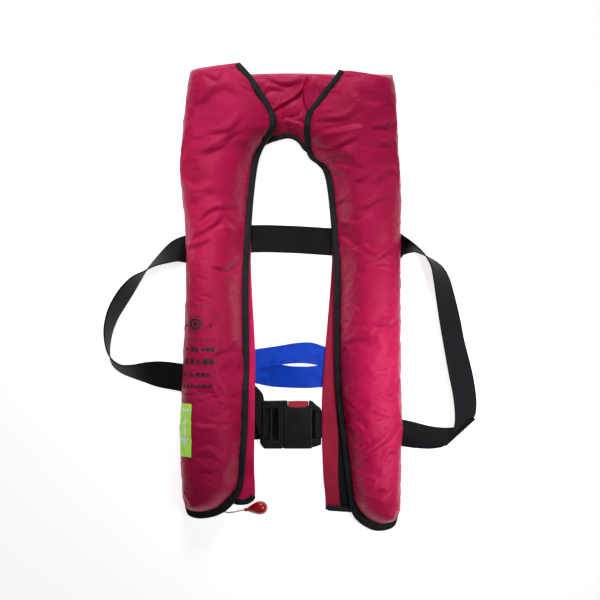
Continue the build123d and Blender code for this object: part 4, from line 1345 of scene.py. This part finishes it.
def make_socket():
    """The female half: face, floor, side wall, lip by the button, strap bar and a raised rim."""
    y0, y1 = LOW_Y, HIGH_Y
    notch = [(-4.6, y1), (-4.4, -145.0), (3, -146.3), (9.5, -146.7), (16, -146.3), (23.6, -145.0), (23.8, y1)]
    face = [(-10.2, y1)] + notch + [(26.5, y1), (28.2, -140), (28.2, -200.2), (26.5, y0), (-10.2, y0)]
    floor = [(-10.2, y1)] + notch + [(27.5, y1), (33, -142.6), (38.6, -147), (40.4, -150), (40.4, -196.5),
                                     (36, -198.6), (31, -199), (27, y0), (-13, y0), (-13, y1)]
    strap_slot = box_outline(31.4, 37.6, -187.2, -151.8, 1.0)
    upper_ear = [(26, y1 - 0.6), (28, y1 - 0.6), (33, -143.4), (38.4, -147.6), (40.2, -150.2), (40.2, -151),
                 (27, -150.6)]
    lower_ear = [(26, y0 + 0.6), (30, y0 + 1.8), (36, -198.2), (40.2, -196), (40.2, -188.6), (27, -189)]
    wall = [(-10.0, MOUTH_LOW), (20, MOUTH_LOW), (20, -151.6), (23.6, -151.6), (23.6, y1 - 0.3), (28, -140),
            (28, -200.2), (26.4, y0 + 0.3), (-10.0, y0 + 0.3)]
    lip = [(-10.0, -152.3), (-4.7, -152.3), (-4.7, y1 - 0.3), (-10.0, y1 - 0.3)]
    rim = [(-8.6, -149), (-8.6, -199.4), (26.4, -199.4), (26.4, -149)]
    inner = [(-7.6, -149.6), (-7.6, -198.4), (25.4, -198.4), (25.4, -149.6)]
    parts = [plate("female_top", [rounded(face, 2.2)], 9.8, FACE_Z, 0.9),
             plate("female_low", [rounded(floor, 2.2), strap_slot], BASE_Z, 2.6),
             plate("female_tail", [rounded(upper_ear, 1.2)], 2.4, 9.6, 0.8),
             plate("female_tail_b", [rounded(lower_ear, 1.2)], 2.4, 9.6, 0.8),
             plate("female_bar", [box_outline(33, 36.8, y0 + 10, -149, 1.2)], 3.2, 6.6, 1.0),
             plate("female_wall", [rounded(wall, 0.8)], 2.4, 10.1, 0.25, 1),
             plate("female_lip", [rounded(lip, 0.8)], 2.4, 10.1, 0.25, 1),
             plate("female_rim", [rounded(rim, 2), rounded(inner, 1.6)], FACE_Z - 0.3, FACE_Z + 0.25, 0.15,
                   1)]
    place_on(join("buckle_socket", parts), "jacket", "buckle_plastic", "buckle_female")


def make_tongue():
    """The male half: a frame with the ladder lock's bar, two ridges across its face and two prongs."""
    y0, y1 = LOW_Y, HIGH_Y
    out = [(-41.6, y1 - 3), (-39.0, y1 - 0.3), (-10.7, y1), (-10.7, y0), (-36.0, y0), (-41.6, y0 + 7)]
    frame_edge = [(-37.4, y1 - 3)] + out[1:4] + [(-36.0, y0), (-37.4, y0 + 3)]
    outer_edge = out[:2] + [(-35.0, y1 - 2), (-35.0, y0 + 2), (-37.0, y0 + 0.4), out[5]]
    slot = box_outline(-35.6, -17.4, y0 + 10.5, y1 - 10, 1.4)
    floor_slot = box_outline(-35.2, -17.8, -187.2, -152.0, 1.0)
    parts = [plate("male_frame", [rounded(frame_edge, 3.0), slot], 3.4, FACE_Z, 0.75),
             plate("male_outer", [rounded(outer_edge, 1.6)], 2.9, 8.2, 0.9),
             plate("male_floor", [rounded(out, 2.0), floor_slot], 3.3, 4.6, 0.2),
             plate("male_bar", [box_outline(-29.2, -25.6, y0 + 9, y1 - 9, 1.2)], 3.6, 7.4, 1.0)]
    for k, x in enumerate((-14.9, -12.6)):
        bow = [(x - 1.1 * math.sin(math.pi * t), y1 - 2.6 + (y0 - y1 + 5.2) * t)
               for t in np.linspace(0, 1, 24)]
        ridge = [(a - 0.45, b) for a, b in bow] + [(a + 0.45, b) for a, b in bow[::-1]]
        parts.append(plate(f"male_ridge_{k}", [ridge], FACE_Z - 0.3, FACE_Z + 0.45, 0.2, 2))
    lo, hi = MOUTH_LOW + 0.5, MOUTH_HIGH - 0.5
    for k, low in enumerate((lo, hi - 9)):
        parts.append(plate(f"prong_{k}", [box_outline(-12, 19, low, low + 9, 1.5)], 4.1, 9.3))
    place_on(join("buckle_tongue_frame", parts), "buckle_tongue", "buckle_plastic", "buckle_male")


def make_button():
    """The red release key, with grip ribs."""
    edge = [(-4, -138.2), (-4, -147), (23, -147), (23, -138.2), (18, -137.9), (9.5, -137.7), (1, -137.9)]
    parts = [plate("release_key", [rounded(edge, 1.2)], 4.0, 9.5, 0.7, material=BUTTON)]
    for k, x in enumerate(np.linspace(2, 16.6, 6)):
        rib = box_outline(x, x + 0.9, -146.5, -139, 0.3)
        parts.append(plate(f"key_rib_{k}", [rib], 9.3, 9.8, 0.15, 1, material=BUTTON))
    place_on(join("release_key", parts), "button", "button_plastic", "release_button")


make_socket()
make_tongue()
make_button()


# ---- label and print ----
def patch_on(final, y_pair, s_pair, rows, cols, offset):
    """Points over a cover between two heights y and two distances from its outer seam."""
    q = np.zeros((rows, cols, 3))
    mid = final[:, 0, 1]
    for i, y in enumerate(np.linspace(*y_pair, rows)):
        f = np.interp(-y, -mid, np.arange(len(mid)))
        k, r = int(f), f - int(f)
        line = final[k] * (1 - r) + final[k + 1] * r
        s = arc_length(line)
        for j, d in enumerate(np.linspace(*s_pair, cols)):
            q[i, j] = [np.interp(d, s, line[:, c]) for c in range(3)]
    return q + upward_normals(q) * offset


def make_label():
    """The lime label sewn on the right cover's outer side, with a printed bar and arrow."""
    rows, cols = 60, 26
    base = patch_on(RIGHT_GRID, (-139.5, -209), (1.0, 23.5), rows, cols, 0.8)
    flutter = 0.5 * wobble(np.linspace(0, 70, rows), 131, 12)
    base[:, :, 2] += flutter[:, None] * np.linspace(0, 1, cols)[None, :]
    pieces = [grid_object("release_label", base, LIME, thickness=0.35, subdivide=1)]
    # each mark covers a run of the label's rows and a run of its columns
    marks = [("arrow_shaft", 14, 38, 12, 15)]
    marks += [(f"arrow_head_{k}", 38 + k * 2, 40 + k * 2, 7 + 3 * k // 2, 20 - 3 * k // 2) for k in range(5)]
    marks += [("bar_a", 6, 9, 8, 20)]
    for name, row, last_row, col, last_col in marks:
        q = base[row:last_row + 1, col:last_col + 1]
        pieces.append(grid_object(name, q + upward_normals(q) * 0.32, WHITE, thickness=0.12))
    label = join("release_label", pieces)
    place_on(label, "right_flap", "label_cloth", "pull_label")


make_label()


DISC_CENTRE = (-125, -35)
# Rows of print blocks: y, first x, last x, height and number.
PRINT_ROWS = ((-55, -141, -99, 2.0, 15), (-68, -138, -98, 5.6, 6), (-84, -140, -99, 7.4, 5),
              (-101, -140, -103, 5.2, 5), (-116, -141, -103, 4.6, 8))


def make_print():
    """A printed outline with a ringed disc and rows of blocks, lying on the right cover."""
    tree = BVHTree.FromObject(RIGHT_COVER, bpy.context.evaluated_depsgraph_get())

    def drop(x, y, up=0.22):
        hit = tree.ray_cast(Vector((x * MM, y * MM, 0.2)), Vector((0, 0, -1)))
        if hit[0] is None:
            hit = tree.find_nearest(Vector((x * MM, y * MM, 0.03)))
        return hit[0] + hit[1] * up * MM

    pieces = []

    def stroke(name, points, width):
        path = np.array(points, float)
        line = resample(path, max(4, int(arc_length(path)[-1] / 1.5)))
        t = tangents(line)
        n = np.column_stack([-t[:, 1], t[:, 0]]) * width / 2
        verts = [drop(x + a * k, y + b * k) for (x, y), (a, b) in zip(line, n) for k in (-1, 0, 1)]
        pieces.append(new_object(name, verts, grid_faces(len(line), 3), PRINT))
        fix_up(pieces[-1])

    def circle(name, r, width, count):
        x, y = DISC_CENTRE
        stroke(name, [(x + r * math.cos(a), y + r * math.sin(a)) for a in np.linspace(0, 2 * math.pi, count)],
               width)

    outline = [(-141, -16), (-131, -10), (-116, -11), (-100, -20), (-92, -36), (-92, -60), (-97, -90),
               (-103, -116)]
    stroke("print_outline", curve(outline, 90), 0.7)
    stroke("print_base", [(-141, -127), (-110, -127)], 1.0)
    stroke("print_base_b", [(-141, -134), (-112, -134)], 0.5)
    circle("print_ring", 10.5, 1.1, 50)
    circle("print_disc_0", 1.8, 3.4, 40)
    circle("print_disc_1", 6.4, 3.4, 40)
    for k, (y, x0, x1, height, count) in enumerate(PRINT_ROWS):
        pitch = (x1 - x0) / count
        for i in range(count):
            share = 0.45 + 0.4 * rng_at(160 + k, i)
            tall = height * (0.62 if (i + k) % 3 == 1 else 1.0)
            left = x0 + pitch * i
            stroke(f"print_block_{k}_{i}", [(left, y), (left + pitch * share, y)], tall)
            if height > 4 and rng_at(190 + k, i) > 0.35:
                foot = y - height * 0.44
                stroke(f"print_line_{k}_{i}", [(left, foot), (left + pitch * 0.86, foot)], 0.9)
    for k, x in enumerate((-139.5, -107)):
        stroke(f"print_mark_{k}", [(x, -37), (x + 3.4, -37)], 3.4)
    place_on(join("front_print", pieces), "right_flap", "label_cloth")


make_print()


# ---- springs ----
# Joint, stroke, y of the fixed end, turns and wire of each.
SPRINGS = {
    "button_spring": ("button_press", 3.5, -151.4, 3, 0.6),
    "piercing_spring": ("piercing_stroke", 4.0, -220.0, 4, 0.6),
    "oral_valve_spring": ("oral_valve_press", 1.5, -2.1, 2, 0.5),
}


def make_spring(node, joint, stroke, fixed_y, turns, wire):
    """A coil in place of a CAD spring, along Y."""
    low, high = (np.array(corner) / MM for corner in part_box(node))
    x, z = (low[0] + high[0]) / 2, (low[2] + high[2]) / 2
    r = (high[0] - low[0]) / 2 - wire / 2
    length = high[1] - low[1]
    t = np.linspace(0, 1, turns * 28 + 1)
    angle = 2 * math.pi * turns * t
    radial = np.column_stack([np.cos(angle), np.zeros(len(t)), np.sin(angle)])
    rise = np.column_stack([np.zeros(len(t)), (length - wire) * t, np.zeros(len(t))])
    line = np.array([x, low[1] + wire / 2, z]) + radial * r + rise
    across = unit(np.cross(radial, tangents(line)))
    ring = [(wire / 2 * math.cos(a), wire / 2 * math.sin(a)) for a in np.linspace(0, 2 * math.pi, 11)[:-1]]
    coil = sweep(f"{node}_coil", line, across, radial, ring, STEEL)
    place_on(coil, "jacket", "spring_wire", node)
    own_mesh(coil)


for node_name, values in SPRINGS.items():
    make_spring(node_name, *values)


# ---- finishes of the carried-over CAD nodes ----
FINISH = {
    "inflator_body": GREY, "manifold_stem": BRASS, "manifold_nut": BRASS, "inflator_lever": GREY,
    "lever_pin": STEEL, "piercing_pin": STEEL, "cylinder_gasket": RUBBER,
    "co2_cylinder": BOTTLE, "oral_tube_flange": RUBBER, "oral_tube_elbow": RUBBER, "oral_tube": RUBBER,
    "oral_valve_body": VALVE, "oral_valve_poppet": VALVE, "oral_cap": RUBBER,
    "whistle": WHISTLE, "whistle_cord": CORD,
}


def finish_nodes():
    """Gives the CAD nodes that stay visible their materials."""
    for name, material in FINISH.items():
        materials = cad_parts[name].data.materials
        materials.clear()
        materials.append(material)


finish_nodes()
